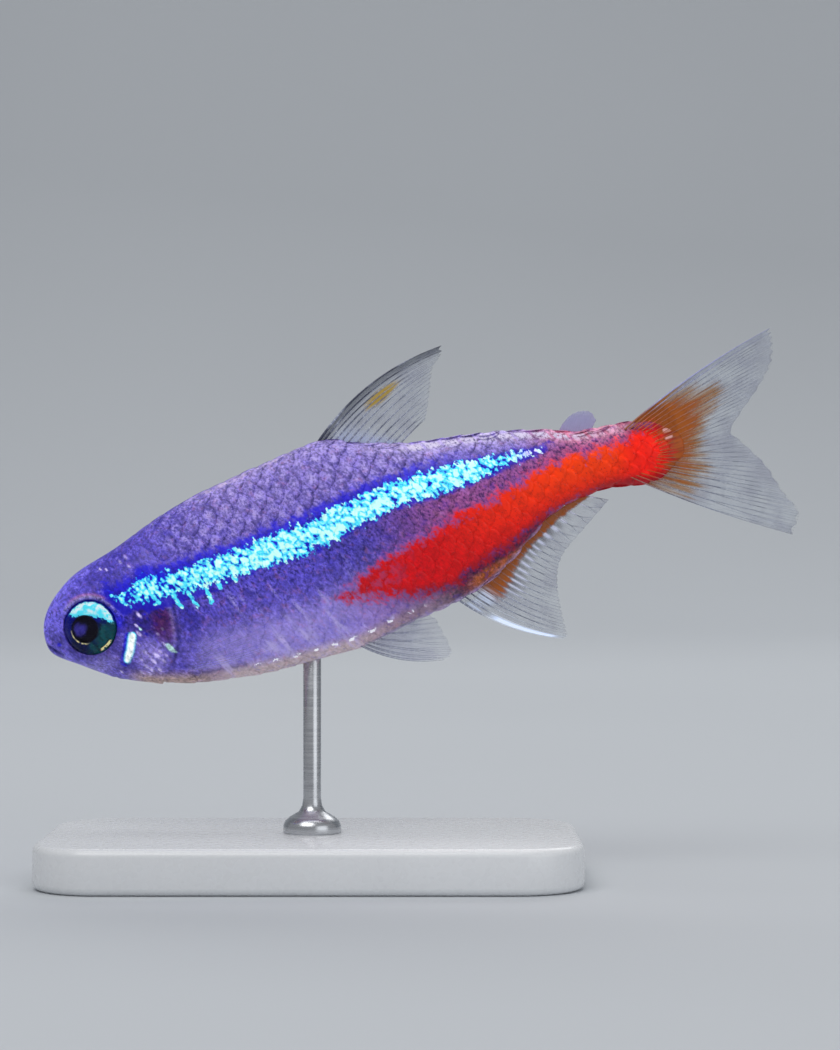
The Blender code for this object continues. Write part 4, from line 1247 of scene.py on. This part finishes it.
def lay_out_skin(mesh, rows, count):
    """OFBake on the skin: along the body by across it, cut under the belly."""
    lead = read_off(mesh.loops, "vertex_index", np.int32)
    owner = np.repeat(np.arange(len(mesh.polygons)), read_off(mesh.polygons, "loop_total", np.int32))
    row, column = lead // count, lead % count
    pole = lead >= rows * count
    row = np.where(lead == rows * count, -1, np.where(lead == rows * count + 1, rows, row))
    # A face that crosses the cut has its first column counted as one past the last
    at_end = np.bincount(owner, weights=(column == count - 1) & ~pole, minlength=len(mesh.polygons))
    column = np.where((at_end[owner] > 0) & (column == 0) & ~pole, count, column).astype(float)
    # The point at either end lies level with the middle of its face
    total = np.bincount(owner, weights=np.where(pole, 0, column), minlength=len(mesh.polygons))
    number = np.bincount(owner, weights=~pole, minlength=len(mesh.polygons))
    column = np.where(pole, (total / np.maximum(number, 1))[owner], column)
    put_map(mesh, np.stack((0.01 + 0.98 * (row + 1) / (rows + 1), 0.01 + 0.98 * column / count), axis=-1))


def put_map(mesh, places):
    """The OFBake map from a place for each face corner."""
    mesh.uv_layers.new(name="OFBake").data.foreach_set("uv", places.astype(np.float32).ravel())


SCALE_RINGS = (0.42, 0.76, 1.0)
SCALE_SPOKES = 16
SQUARENESS = 3.4  # of a scale's front edge


def scale_outline(across, along):
    """Distance from a scale's middle to its edge: round behind, square in front. Unit length and width."""
    square = (np.abs(across) ** SQUARENESS + np.abs(along) ** SQUARENESS) ** (-1 / SQUARENESS)
    return np.where(along >= 0, 1.0, square)


def scale_template(sizes):
    """One closed scale, one unit long and wide, lying on its middle. Heights are in metres over the real size."""
    ray = spokes_of(SCALE_SPOKES)
    edge = ray * (scale_outline(ray[:, 1], ray[:, 0]) * 0.5)[:, None]
    flat = np.vstack([(0.0, 0.0)] + [edge * ring for ring in SCALE_RINGS])
    radii = np.concatenate(([0.0], np.repeat(SCALE_RINGS, SCALE_SPOKES)))
    slope = (flat[:, 0] + 0.25) * sizes.lift
    upper = np.column_stack((flat, slope + sizes.thickness * (1.0 - 0.62 * radii ** 3)))
    lower = np.column_stack((flat, slope - sizes.thickness * 0.05))
    # The underside has the middle and the rim only
    points = np.concatenate((upper, lower[:1], lower[-SCALE_SPOKES:]))
    count = len(flat)
    rim, under, low = count - SCALE_SPOKES, count, count + 1
    faces = [tuple(1 + i for i in face) for face in grid_faces(len(SCALE_RINGS), SCALE_SPOKES)]
    for i in range(SCALE_SPOKES):
        j = (i + 1) % SCALE_SPOKES
        faces += [(0, 1 + i, 1 + j), (rim + i, low + i, low + j, rim + j), (under, low + j, low + i)]
    mesh = mesh_of("scale_template", points, faces)
    store(mesh, {"lengthwise": points[:, 0], "across": points[:, 1], "underside": np.arange(len(points)) >= count})
    template = new_object("scale_template", mesh)
    template.hide_render = True
    return template


FIRST_COLUMN = 4.7          # along the body, mm
HALF_RING = 241             # points round one flank that scales are set out on
ROWS = range(-8, 9)         # rows under and over the middle line
FULL_GIRTH = 11.0           # a flank this long round, in mm, has its rows at their full height
KEEL_FRONT, KEEL = 0.62, 0.30   # clear strip under the belly, before and behind the belly's front end, mm
BELLY_FRONT = 8.0
BEHIND_GILL = 0.45


def scale_sites(sizes):
    """Where the scales of one flank sit: (station, angle, spacing, column, row).

    Each column is half a pitch behind the last, and half a scale higher or lower.
    """
    pitch, row_height = sizes.pitch / MM, sizes.row / MM
    dense = np.linspace(-math.pi / 2, math.pi / 2, HALF_RING)
    found = []
    for column in range(int((BODY_END - FIRST_COLUMN) / (pitch / 2))):
        along = FIRST_COLUMN + column * pitch / 2
        ring = body_surface(np.full(HALF_RING, along), dense)
        run = run_along(ring)
        middle, girth = np.interp(0.0, dense, run), run[-1]
        spacing = 2 * row_height * (0.45 + 0.55 * min(girth / FULL_GIRTH, 1.0))
        for row in np.array(ROWS) + 0.5 * (column % 2):
            at = middle + row * spacing
            if not (KEEL_FRONT if along < BELLY_FRONT else KEEL) < at < girth - 0.02:
                continue
            angle = np.interp(at, run, dense)
            up = body_surface(np.array(along), np.array(angle))[2]
            stern = 28.9 - 0.9 * abs(up - 0.6) / 1.3
            if behind_gill(along, up) > BEHIND_GILL and along < stern:
                found.append((along, angle, spacing, column, row))
    return found


def make_scales(side, sign, context, template, tree):
    """Lays the scales of one flank as one mesh, painted as the skin is, each with its own patch of the map."""
    sizes, paints = context.scene.tetra_scales, context.scene.tetra_colours
    depth = context.scene.tetra_skin.coat_depth / MM
    along, angle, spacing, column, row = np.array(scale_sites(sizes)).T
    angle = angle if sign > 0 else math.pi - angle
    out, lie = facing(along, angle)
    lie = lie - out * np.sum(lie * out, axis=1, keepdims=True)
    # How strongly the body curves across each scale
    spread = 0.06
    near = np.cross(facing(along, angle - spread)[0], facing(along, angle + spread)[0])
    arc = np.linalg.norm(body_surface(along, angle + spread) - body_surface(along, angle - spread), axis=1)
    curve = np.linalg.norm(near, axis=1) / np.maximum(arc, 1e-6)
    length_mm = sizes.pitch / MM * sizes.overlap * (0.80 + 0.20 * spacing / spacing.max())
    width_mm = spacing * sizes.breadth
    mesh = bpy.data.meshes.new(f"scales_{side}")
    mesh.from_pydata(to_model(body_surface(along, angle) - out * (depth * 0.85)).tolist(), [], [])
    size = np.column_stack((length_mm * MM, width_mm * MM, np.ones(len(along))))
    store(mesh, {"out": turned(out), "lie": turned(lie), "size": size}, "FLOAT_VECTOR")
    droop = -0.5 * np.clip(curve, 0, 1.2) * width_mm ** 2 * MM
    store(mesh, {"droop": droop, "column": column, "row": row})
    roots = new_object(f"scale_roots_{side}", mesh)
    run_tree(roots, tree, {"Scale": template, "Jitter": sizes.jitter, "Seed": sizes.seed,
                           "Material": context.scene.tetra_material})
    piece = plain_mesh(roots, f"scales_{side}")
    mesh = piece.data
    mesh.shade_smooth()

    lengthwise, across, under, column, row = (
        read_off(mesh.attributes[name].data, "value", np.float32).astype(float)
        for name in ("lengthwise", "across", "underside", "column", "row")
    )
    paint_fields(mesh, to_fish(read_off(mesh.vertices, "co", np.float32, 3)), paints)
    shape = np.hypot((lengthwise - 0.02) / 0.48, across / 0.5)
    heart = np.hypot((lengthwise - 0.22) / 0.20, across / 0.26)
    store(mesh, {"margin": ease(shape, 0.72, 0.98) * ease(lengthwise, -0.12, 0.1), "heart": hump(heart, 0.0, 1.0)})
    # OFBake: each scale has its own cell, at its root's place on the flank laid flat
    columns, rows = column.max() + 2.0, row.max() - row.min() + 2.0
    cell_row = row - row.min() + 0.75
    cell_u = (column + 0.5 + lengthwise * 0.86) / columns
    cell_v = (cell_row + np.where(under > 0.5, across * 0.16 - 0.32, across * 0.62 + 0.12)) / rows
    put_map(mesh, np.column_stack((cell_u, cell_v))[read_off(mesh.loops, "vertex_index", np.int32)])
    for name in ("out", "lie", "size", "droop", "lengthwise", "across", "underside", "column", "row"):
        found = mesh.attributes.get(name)
        if found:
            mesh.attributes.remove(found)
    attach(piece, "root")


class TETRA_OT_scales(bpy.types.Operator):
    """Lays overlapping scales over both flanks"""
    bl_idname = "tetra.scales"
    bl_label = "Lay Scales"

    def execute(self, context):
        template = scale_template(context.scene.tetra_scales)
        tree = scale_tree()
        for side, sign in (("left", -1), ("right", 1)):
            make_scales(side, sign, context, template, tree)
        bpy.data.objects.remove(template)
        bpy.data.node_groups.remove(tree)
        return {"FINISHED"}


# Eyes

PUPIL_OFFSET = (-0.24, -0.08)   # from the eye's centre, level with the viewer, mm
EYE_DEPTH = 0.65
LENS_STEPS, IRIS_STEPS, BACK_STEPS, EYE_SPOKES = 6, 14, 9, 96


def eye_point(sign, x, z, out):
    """A place in the fish's frame from the eye's own: x and z as a viewer of the left side sees them level."""
    sine, cosine = math.sin(NOSE_DOWN), math.cos(NOSE_DOWN)
    along = x * cosine + z * sine
    up = z * cosine - x * sine
    turn_sine, turn_cosine = math.sin(EYE_TURN), math.cos(EYE_TURN)
    return np.stack((
        EYE_CENTRE[0] + along * turn_cosine - out * turn_sine,
        sign * (EYE_SEAT + along * turn_sine + out * turn_cosine),
        EYE_CENTRE[1] + up,
    ), axis=-1)


def eye_shell(radius, pupil):
    """The iris, the lens that shows in the pupil, and the closed back of the eyeball, as one shell."""
    offset, ray = np.array(PUPIL_OFFSET), spokes_of(EYE_SPOKES)
    rows, rims, edges = [], [], []

    def ring(flat, out, rim, edge):
        rows.append(np.column_stack((flat, np.full(EYE_SPOKES, out))))
        rims.append(np.broadcast_to(rim, EYE_SPOKES))
        edges.append(np.full(EYE_SPOKES, edge))

    for t in np.arange(1, LENS_STEPS + 1) / LENS_STEPS:
        ring(offset + ray * pupil * t, -0.02 + 0.10 * math.sqrt(1 - (t * 0.97) ** 2), 0.0, (t - 1) * 0.6)
    for t in np.arange(1, IRIS_STEPS + 1) / IRIS_STEPS:
        flat = (offset + ray * pupil) * (1 - t) + ray * radius * t
        out = 0.02 + 0.06 * math.sin(math.pi * min(t * 1.1, 1.0)) - 0.05 * t
        ring(flat, out, np.hypot(*flat.T) / radius, t * (radius - pupil))
    for turn in np.arange(1, BACK_STEPS) / BACK_STEPS * math.pi / 2:
        ring(ray * radius * math.cos(turn), -0.03 - 0.62 * math.sin(turn), 1.0, radius)
    points = np.vstack((*rows, (*PUPIL_OFFSET, 0.085), (0.0, 0.0, -EYE_DEPTH)))
    return points, np.concatenate((*rims, (0.0, 1.0))), np.concatenate((*edges, (-0.6, radius)))


def cornea_shell(radius, bulge, spokes=64, rings=12):
    """A thin clear dome with an inner and an outer face."""
    ray = spokes_of(spokes)

    def dome(reach, height, drop):
        return [np.column_stack((ray * reach * t, np.full(spokes, height * (1 - t ** 2.2) ** 0.75 - drop)))
                for t in np.arange(1, rings + 1) / rings]

    inner = dome(radius - 0.012, bulge - 0.035, 0.012)
    points = np.vstack((*dome(radius, bulge, 0.0), *reversed(inner), (0, 0, bulge), (0, 0, bulge - 0.047)))
    return points, capped_faces(2 * rings, spokes)


class TETRA_OT_eyes(bpy.types.Operator):
    """Makes both eyes: iris and lens, under a clear cornea"""
    bl_idname = "tetra.eyes"
    bl_label = "Make Eyes"

    def execute(self, context):
        look = context.scene.tetra_eyes
        iris, clear = iris_material(look), cornea_material()
        radius = look.radius / MM
        for side, sign in (("left", -1), ("right", 1)):
            points, rims, edges = eye_shell(radius, look.pupil / MM)
            faces = capped_faces(LENS_STEPS + IRIS_STEPS + BACK_STEPS - 1, EYE_SPOKES)
            mesh = mesh_of(f"eyeball_{side}", to_model(eye_point(sign, *points.T)), faces)
            store(mesh, {"eye_place": points}, "FLOAT_VECTOR")
            store(mesh, {"eye_rim": rims, "eye_pupil": edges})
            settle(new_object(f"eyeball_{side}", mesh, iris), "eye", f"eye_{side}")
            points, faces = cornea_shell(radius, look.bulge / MM)
            mesh = mesh_of(f"cornea_{side}", to_model(eye_point(sign, *points.T)), faces)
            settle(new_object(f"cornea_{side}", mesh, clear), "eye", f"eye_{side}")
        return {"FINISHED"}


# Fins

class FinShape:
    """A fin drawn from its rays. A place on it is (across 0 to 1 from the front, out 0 to 1 from the root)."""

    def __init__(self, knots, rays, inset=0.0, ripple=0.0, seat=None, mirror=1):
        self.line = flowing(knots)
        self.rays, self.inset, self.ripple, self.seat, self.mirror = rays, inset, ripple, seat, mirror

    def flat(self, across, out):
        across, out = np.broadcast_arrays(np.asarray(across, float), np.asarray(out, float))
        row = self.line(across)
        root, tip, bow = row[..., :2], row[..., 2:4], row[..., 4]
        ray = tip - root
        root = root - ray / np.linalg.norm(ray, axis=-1, keepdims=True) * self.inset
        ray = tip - root
        turned_ray = np.stack((-ray[..., 1], ray[..., 0]), axis=-1)
        return root + ray * out[..., None] + turned_ray * (4 * out * (1 - out) * bow)[..., None]

    def place(self, across, out, side=0.0):
        """Places in the fish's frame. side is the distance out of the fin's plane."""
        flat = self.flat(across, out)
        wave = self.ripple * np.sin(np.asarray(across) * 9.0 + 1.2) * np.asarray(out) ** 1.5
        off = np.broadcast_to(np.asarray(side, float) + wave, flat.shape[:-1])
        if self.seat is None:
            return np.stack((flat[..., 0], off, flat[..., 1]), axis=-1)
        root, first, second = (np.array(v, float) * (1, self.mirror, 1) for v in self.seat)
        first /= np.linalg.norm(first)
        second -= first * (second @ first)
        second /= np.linalg.norm(second)
        third = np.cross(first, second)
        return root + flat[..., :1] * first + flat[..., 1:2] * second + off[..., None] * third


def membrane_mesh(name, shape, sheet, ray_shares, steps=22, between_rays=5):
    """The fin's skin: a thin closed sheet, thicker over the rays, with its edge drawn in between them."""
    shares, web = [], []
    for low, high in zip(ray_shares, ray_shares[1:]):
        for k in range(between_rays):
            shares.append(low + (high - low) * k / between_rays)
            web.append(1 - abs(2 * k / between_rays - 1) if k else 0.0)
    shares.append(ray_shares[-1])
    web.append(0.0)
    across, out = np.meshgrid(shares, np.linspace(0, 1, steps), indexing="ij")
    gap = np.broadcast_to(np.array(web)[:, None], out.shape)
    drawn = out * (1 - 0.022 * gap * out ** 6)
    half = sheet * (0.5 + 0.5 * (1 - out)) * (1 - 0.35 * gap) / 2
    front, rear = shape.place(across, drawn, half), shape.place(across, drawn, -half)
    rows, columns = across.shape
    count = rows * columns
    faces = grid_faces(rows, columns, closed=False)
    faces += [tuple(count + i for i in reversed(face)) for face in faces]
    rim = [i * columns for i in range(rows)] + [(rows - 1) * columns + j for j in range(1, columns)]
    rim += [i * columns + columns - 1 for i in range(rows - 2, -1, -1)] + list(range(columns - 2, 0, -1))
    faces += [(a, b, count + b, count + a) for a, b in zip(rim, rim[1:] + rim[:1])]
    mesh = mesh_of(name, to_model(np.concatenate((front.reshape(-1, 3), rear.reshape(-1, 3)))), faces)
    fields = {"fin_out": out, "fin_across": across, "fin_web": gap}
    store(mesh, {label: np.tile(values.ravel(), 2) for label, values in fields.items()})
    return mesh


def ray_lines(shape, ray_shares, forks, root_thick, straddle=0.0):
    """The rays and their branches, as (places, thickness, out, across, run) of each line.

    straddle is how far the two halves of a ray stand apart where they clasp the flesh.
    """
    lines = []

    def line(share_at, start, end, thick, steps, side=0.0):
        out = np.linspace(start, end, steps)
        across = share_at(out)
        places = shape.place(across, out, side * ease(out, 0.26, 0.06))
        lines.append((places, thick(out), out, across, run_along(places)))

    for number, share in enumerate(ray_shares):
        gap = min(abs(share - other) for other in ray_shares if other != share)
        thickness = root_thick * (1.5 if number == 0 else 1.2 if number == 1 else 1.0)

        def straight(out, share=share):
            return np.full_like(out, share)

        def thin_out(out, start=1.0, end=0.26, thickness=thickness):
            return thickness * (start + (end - start) * out)

        simple = number < 2 or not forks
        first = 1.0 if simple else forks[0]
        line(straight, 0.0, first, thin_out, 16 if simple else 9)
        for side in (-straddle, straddle) if straddle else ():
            line(straight, 0.0, 0.27, lambda out: thin_out(out, 0.9, -0.9), 9, side)
        if simple:
            continue
        second = forks[1] if len(forks) > 1 else None
        reach = gap * 0.25
        for way in (-1, 1):
            def branch(out, way=way, share=share):
                return share + way * reach * ease(out, first, min(first + 0.35, 1.0))

            line(branch, first - 0.015, second or 1.0, lambda out: thin_out(out, 0.80, 0.18), 7)
            for fork in (-1, 1) if second else ():
                line(lambda out: branch(out) + fork * reach * 0.48 * ease(out, second, 1.0), second - 0.012, 1.0,
                     lambda out: thin_out(out, 0.62, 0.16), 6)
    return lines


def ray_object(name, lines, look, material, tree):
    """One mesh of round rays from the lines."""
    points, edges = [], []
    for places, *_ in lines:
        first = len(points)
        points += to_model(places).tolist()
        edges += [(first + i, first + i + 1) for i in range(len(places) - 1)]
    mesh = bpy.data.meshes.new(name)
    mesh.from_pydata(points, edges, [])
    columns = zip(*(line[1:] for line in lines))
    store(mesh, dict(zip(("thick", "fin_out", "fin_across", "ray_run"), map(np.concatenate, columns))))
    obj = new_object(f"{name}_lines", mesh)
    run_tree(obj, tree, {"Thickness": look.ray, "Sides": look.ray_sides, "Material": material})
    return plain_mesh(obj, name)


def make_fin(context, node, kind, shape, forks, tree, ray_scale=1.0, straddle=0.0):
    look = context.scene.tetra_fins
    shares = list(np.linspace(0, 1, shape.rays))
    skin = membrane_mesh(f"{node}_membrane", shape, look.sheet / MM, shares)
    settle(new_object(f"{node}_membrane", skin, fin_material(f"{node}_membrane", look, kind)), "fin", node)
    if kind == "adipose":
        return
    lines = ray_lines(shape, shares, forks, ray_scale, straddle)
    rays = ray_object(f"{node}_rays", lines, look, ray_material(f"{node}_rays", look, kind), tree)
    settle(rays, "fin", node)


class TETRA_OT_middle_fins(bpy.types.Operator):
    """Makes the dorsal, adipose, anal and tail fins"""
    bl_idname = "tetra.middle_fins"
    bl_label = "Make Middle Fins"

    def execute(self, context):
        tree = ray_tree()
        make_fin(context, "dorsal_fin", "dorsal", FinShape(DORSAL_RAYS, 12, 0.2, 0.05), (0.55,), tree)
        make_fin(context, "adipose_fin", "adipose", FinShape(ADIPOSE_RAYS, 9), (), tree)
        make_fin(context, "anal_fin", "anal", FinShape(ANAL_RAYS, 22, 0.25, 0.06), (0.6,), tree, ray_scale=0.85)
        make_fin(context, "caudal_fin", "caudal", FinShape(TAIL_RAYS, 22, 0.9, 0.08), (0.40, 0.66), tree,
                 ray_scale=0.72, straddle=0.44)
        bpy.data.node_groups.remove(tree)
        return {"FINISHED"}


class TETRA_OT_paired_fins(bpy.types.Operator):
    """Makes the pectoral and pelvic fins of both sides"""
    bl_idname = "tetra.paired_fins"
    bl_label = "Make Paired Fins"

    def execute(self, context):
        tree = ray_tree()
        for side, sign in (("left", -1), ("right", 1)):
            make_fin(context, f"pectoral_fin_{side}", "pectoral",
                     FinShape(PECTORAL_RAYS, 10, 0.0, 0.03, PECTORAL_PLACE, sign), (0.6,), tree, ray_scale=0.45)
            make_fin(context, f"pelvic_fin_{side}", "pelvic",
                     FinShape(PELVIC_RAYS, 8, 0.1, 0.04, PELVIC_PLACE, sign), (0.5,), tree, ray_scale=0.55)
        bpy.data.node_groups.remove(tree)
        return {"FINISHED"}


# Stand and studio

CORNER = 3.0 * MM       # radius of the base's upright corners
ROD_SINK = 0.02 * MM    # how far the rod's foot goes into the base
ROD_STEPS = 48
# The rod's foot from its tip down: radius as a share of the rod's, or of the collar's, and height over the foot, mm
ROD_FOOT = ((1.0, 1.60), (1.12, 1.25), (1.5, 0.98))
COLLAR = ((0.78, 0.74), (0.93, 0.56), (1.0, 0.36), (1.0, 0.10), (0.96, 0.0))


class TETRA_OT_stand(bpy.types.Operator):
    """Makes the flat base and the rod with its collar"""
    bl_idname = "tetra.stand"
    bl_label = "Make Stand"

    def execute(self, context):
        sizes = context.scene.tetra_stand
        low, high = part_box("stand_base")
        centre, size = (low + high) / 2, high - low
        plate = bmesh.new()
        bmesh.ops.create_cube(plate, size=1.0)
        bmesh.ops.scale(plate, vec=size, verts=plate.verts)
        upright = [e for e in plate.edges if abs(e.verts[0].co.z - e.verts[1].co.z) > size.z / 2]
        bmesh.ops.bevel(plate, geom=upright, offset=CORNER, segments=12, profile=0.5, affect="EDGES")
        bmesh.ops.translate(plate, vec=centre, verts=plate.verts)
        data = bpy.data.meshes.new("display_base")
        plate.to_mesh(data)
        plate.free()
        base = new_object("display_base", data, acrylic_material())
        bevel = base.modifiers.new("rim", "BEVEL")
        bevel.width, bevel.segments, bevel.limit_method, bevel.angle_limit = sizes.rim, 4, "ANGLE", math.radians(60)
        base = plain_mesh(base, "display_base")
        base.data.shade_smooth()
        base.data.set_sharp_from_angle(angle=math.radians(50))
        settle(base, "stand_base", "stand_base")

        rod_low, rod_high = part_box("stand_rod")
        axis = (rod_low.x + rod_high.x) / 2
        foot, top = high.z - ROD_SINK, rod_high.z
        profile = [(sizes.rod * 0.8, top), (sizes.rod, top - 0.1 * MM)]
        profile += [(sizes.rod * share, foot + rise * MM) for share, rise in ROD_FOOT]
        profile += [(sizes.collar * share, foot + rise * MM) for share, rise in COLLAR]
        ray = spokes_of(ROD_STEPS)
        rings = [np.column_stack((ray * radius + (axis, 0.0), np.full(ROD_STEPS, height)))
                 for radius, height in profile]
        mesh = mesh_of("display_rod", np.vstack((*rings, (axis, 0.0, top), (axis, 0.0, foot))),
                       capped_faces(len(rings), ROD_STEPS))
        mesh.set_sharp_from_angle(angle=math.radians(50))
        settle(new_object("display_rod", mesh, steel_material()), "stand_rod", "stand_rod")
        return {"FINISHED"}


SWEEP_FRONT, SWEEP_BEND, SWEEP_TOP, SWEEP_HALF = -0.9, 0.28, 0.9, 1.2  # the backdrop's reach, m
SWEEP_RADIUS = 0.22
SUBJECT = (0.0, 0.0, 0.014)
# Place, what it points at, width, depth, watts and tint of each lamp
LAMPS = {
    "key_light": ((-0.10, -0.20, 0.30), SUBJECT, 0.26, 0.20, 0.46, (1.0, 0.99, 0.98)),
    "fill_light": ((0.28, -0.30, 0.10), SUBJECT, 0.34, 0.30, 0.32, (0.96, 0.98, 1.0)),
    "back_light": ((0.06, 0.26, 0.26), SUBJECT, 0.30, 0.16, 0.30, (1.0, 1.0, 1.0)),
    "backdrop_light": ((0.0, 0.05, 0.75), (0.0, 0.35, 0.0), 0.6, 0.4, 1.2, (1.0, 1.0, 1.0)),
}
AIR, AIR_STRENGTH = (0.93, 0.95, 1.0), 0.36
SENSOR_WIDTH = 36.0         # mm
CAMERA_X = -0.124 * MM      # brings the model to the middle of the picture
NEAREST, FARTHEST = 0.005, 5.0


def aimed_light(name, place, target, width, depth, watts, tint):
    """A soft rectangular lamp that points at a target."""
    lamp = bpy.data.lights.new(name, "AREA")
    lamp.shape, lamp.size, lamp.size_y, lamp.energy, lamp.color = "RECTANGLE", width, depth, watts, tint
    obj = new_object(name, lamp)
    obj.location = place
    obj.rotation_euler = (Vector(target) - Vector(place)).to_track_quat("-Z", "Y").to_euler()


class TETRA_OT_stage(bpy.types.Operator):
    """Sets the pale backdrop, the soft studio light and the camera"""
    bl_idname = "tetra.stage"
    bl_label = "Set Stage"

    def execute(self, context):
        look = context.scene.tetra_stage
        profile = [(SWEEP_FRONT, 0.0), (SWEEP_BEND, 0.0)]
        profile += [(SWEEP_BEND + SWEEP_RADIUS * math.sin(a), SWEEP_RADIUS - SWEEP_RADIUS * math.cos(a))
                    for a in np.linspace(0.1, 1.5708, 14)]
        profile += [(SWEEP_BEND + SWEEP_RADIUS, SWEEP_TOP)]
        points = [(x, y, z) for y, z in profile for x in (-SWEEP_HALF, SWEEP_HALF)]
        faces = [(2 * i, 2 * i + 1, 2 * i + 3, 2 * i + 2) for i in range(len(profile) - 1)]
        mesh = bpy.data.meshes.new("studio_sweep")
        mesh.from_pydata(points, [], faces)
        mesh.shade_smooth()
        sweep = new_object("studio_sweep", mesh, backdrop_material(look.backdrop))

        for name, settings in LAMPS.items():
            aimed_light(name, *settings)
        world = bpy.data.worlds.new("studio_air")
        world.use_nodes = True
        air = world.node_tree.nodes["Background"].inputs
        connect(world.node_tree, air["Color"], AIR)
        connect(world.node_tree, air["Strength"], AIR_STRENGTH)
        context.scene.world = world
        context.scene.view_settings.view_transform = "Standard"

        camera = bpy.data.cameras.new("camera")
        camera.lens, camera.sensor_width, camera.sensor_fit = look.lens, SENSOR_WIDTH, "AUTO"
        camera.clip_start, camera.clip_end = NEAREST, FARTHEST
        viewer = new_object("camera", camera)
        viewer.location = (CAMERA_X, -look.distance, look.eye_level)
        viewer.rotation_euler = (math.radians(90), 0.0, 0.0)
        context.scene.camera = viewer
        return {"FINISHED"}


class TETRA_PT_panel(bpy.types.Panel):
    """Lists the tetra's pieces and their sizes"""
    bl_label = "Neon Tetra"
    bl_space_type = "VIEW_3D"
    bl_region_type = "UI"
    bl_category = "Tetra"

    def draw(self, context):
        for operator in OPERATORS:
            self.layout.operator(operator.bl_idname)
        for name, group in SETTINGS.items():
            box = self.layout.box()
            box.label(text=name.replace("_", " "))
            for prop in group.__annotations__:
                box.prop(getattr(context.scene, name), prop)


SETTINGS = {
    "tetra_skin": TetraSkinSettings,
    "tetra_colours": TetraColourSettings,
    "tetra_scales": TetraScaleSettings,
    "tetra_eyes": TetraEyeSettings,
    "tetra_fins": TetraFinSettings,
    "tetra_stand": TetraStandSettings,
    "tetra_stage": TetraStageSettings,
}
OPERATORS = (
    TETRA_OT_skin,
    TETRA_OT_scales,
    TETRA_OT_eyes,
    TETRA_OT_middle_fins,
    TETRA_OT_paired_fins,
    TETRA_OT_stand,
    TETRA_OT_stage,
)


def register():
    for group in (*SETTINGS.values(), *OPERATORS, TETRA_PT_panel):
        bpy.utils.register_class(group)
    for name, group in SETTINGS.items():
        setattr(bpy.types.Scene, name, bpy.props.PointerProperty(type=group))
    bpy.types.Scene.tetra_material = bpy.props.PointerProperty(type=bpy.types.Material)


def unregister():
    del bpy.types.Scene.tetra_material
    for name in SETTINGS:
        delattr(bpy.types.Scene, name)
    for group in reversed((*SETTINGS.values(), *OPERATORS, TETRA_PT_panel)):
        bpy.utils.unregister_class(group)


def main():
    register()
    scene = bpy.context.scene
    scene.tetra_material = skin_material(scene.tetra_colours)
    bpy.ops.tetra.skin()
    bpy.ops.tetra.scales()
    bpy.ops.tetra.eyes()
    bpy.ops.tetra.middle_fins()
    bpy.ops.tetra.paired_fins()
    bpy.ops.tetra.stand()
    bpy.ops.tetra.stage()
    bpy.context.view_layer.update()


if __name__ == "__main__":
    main()
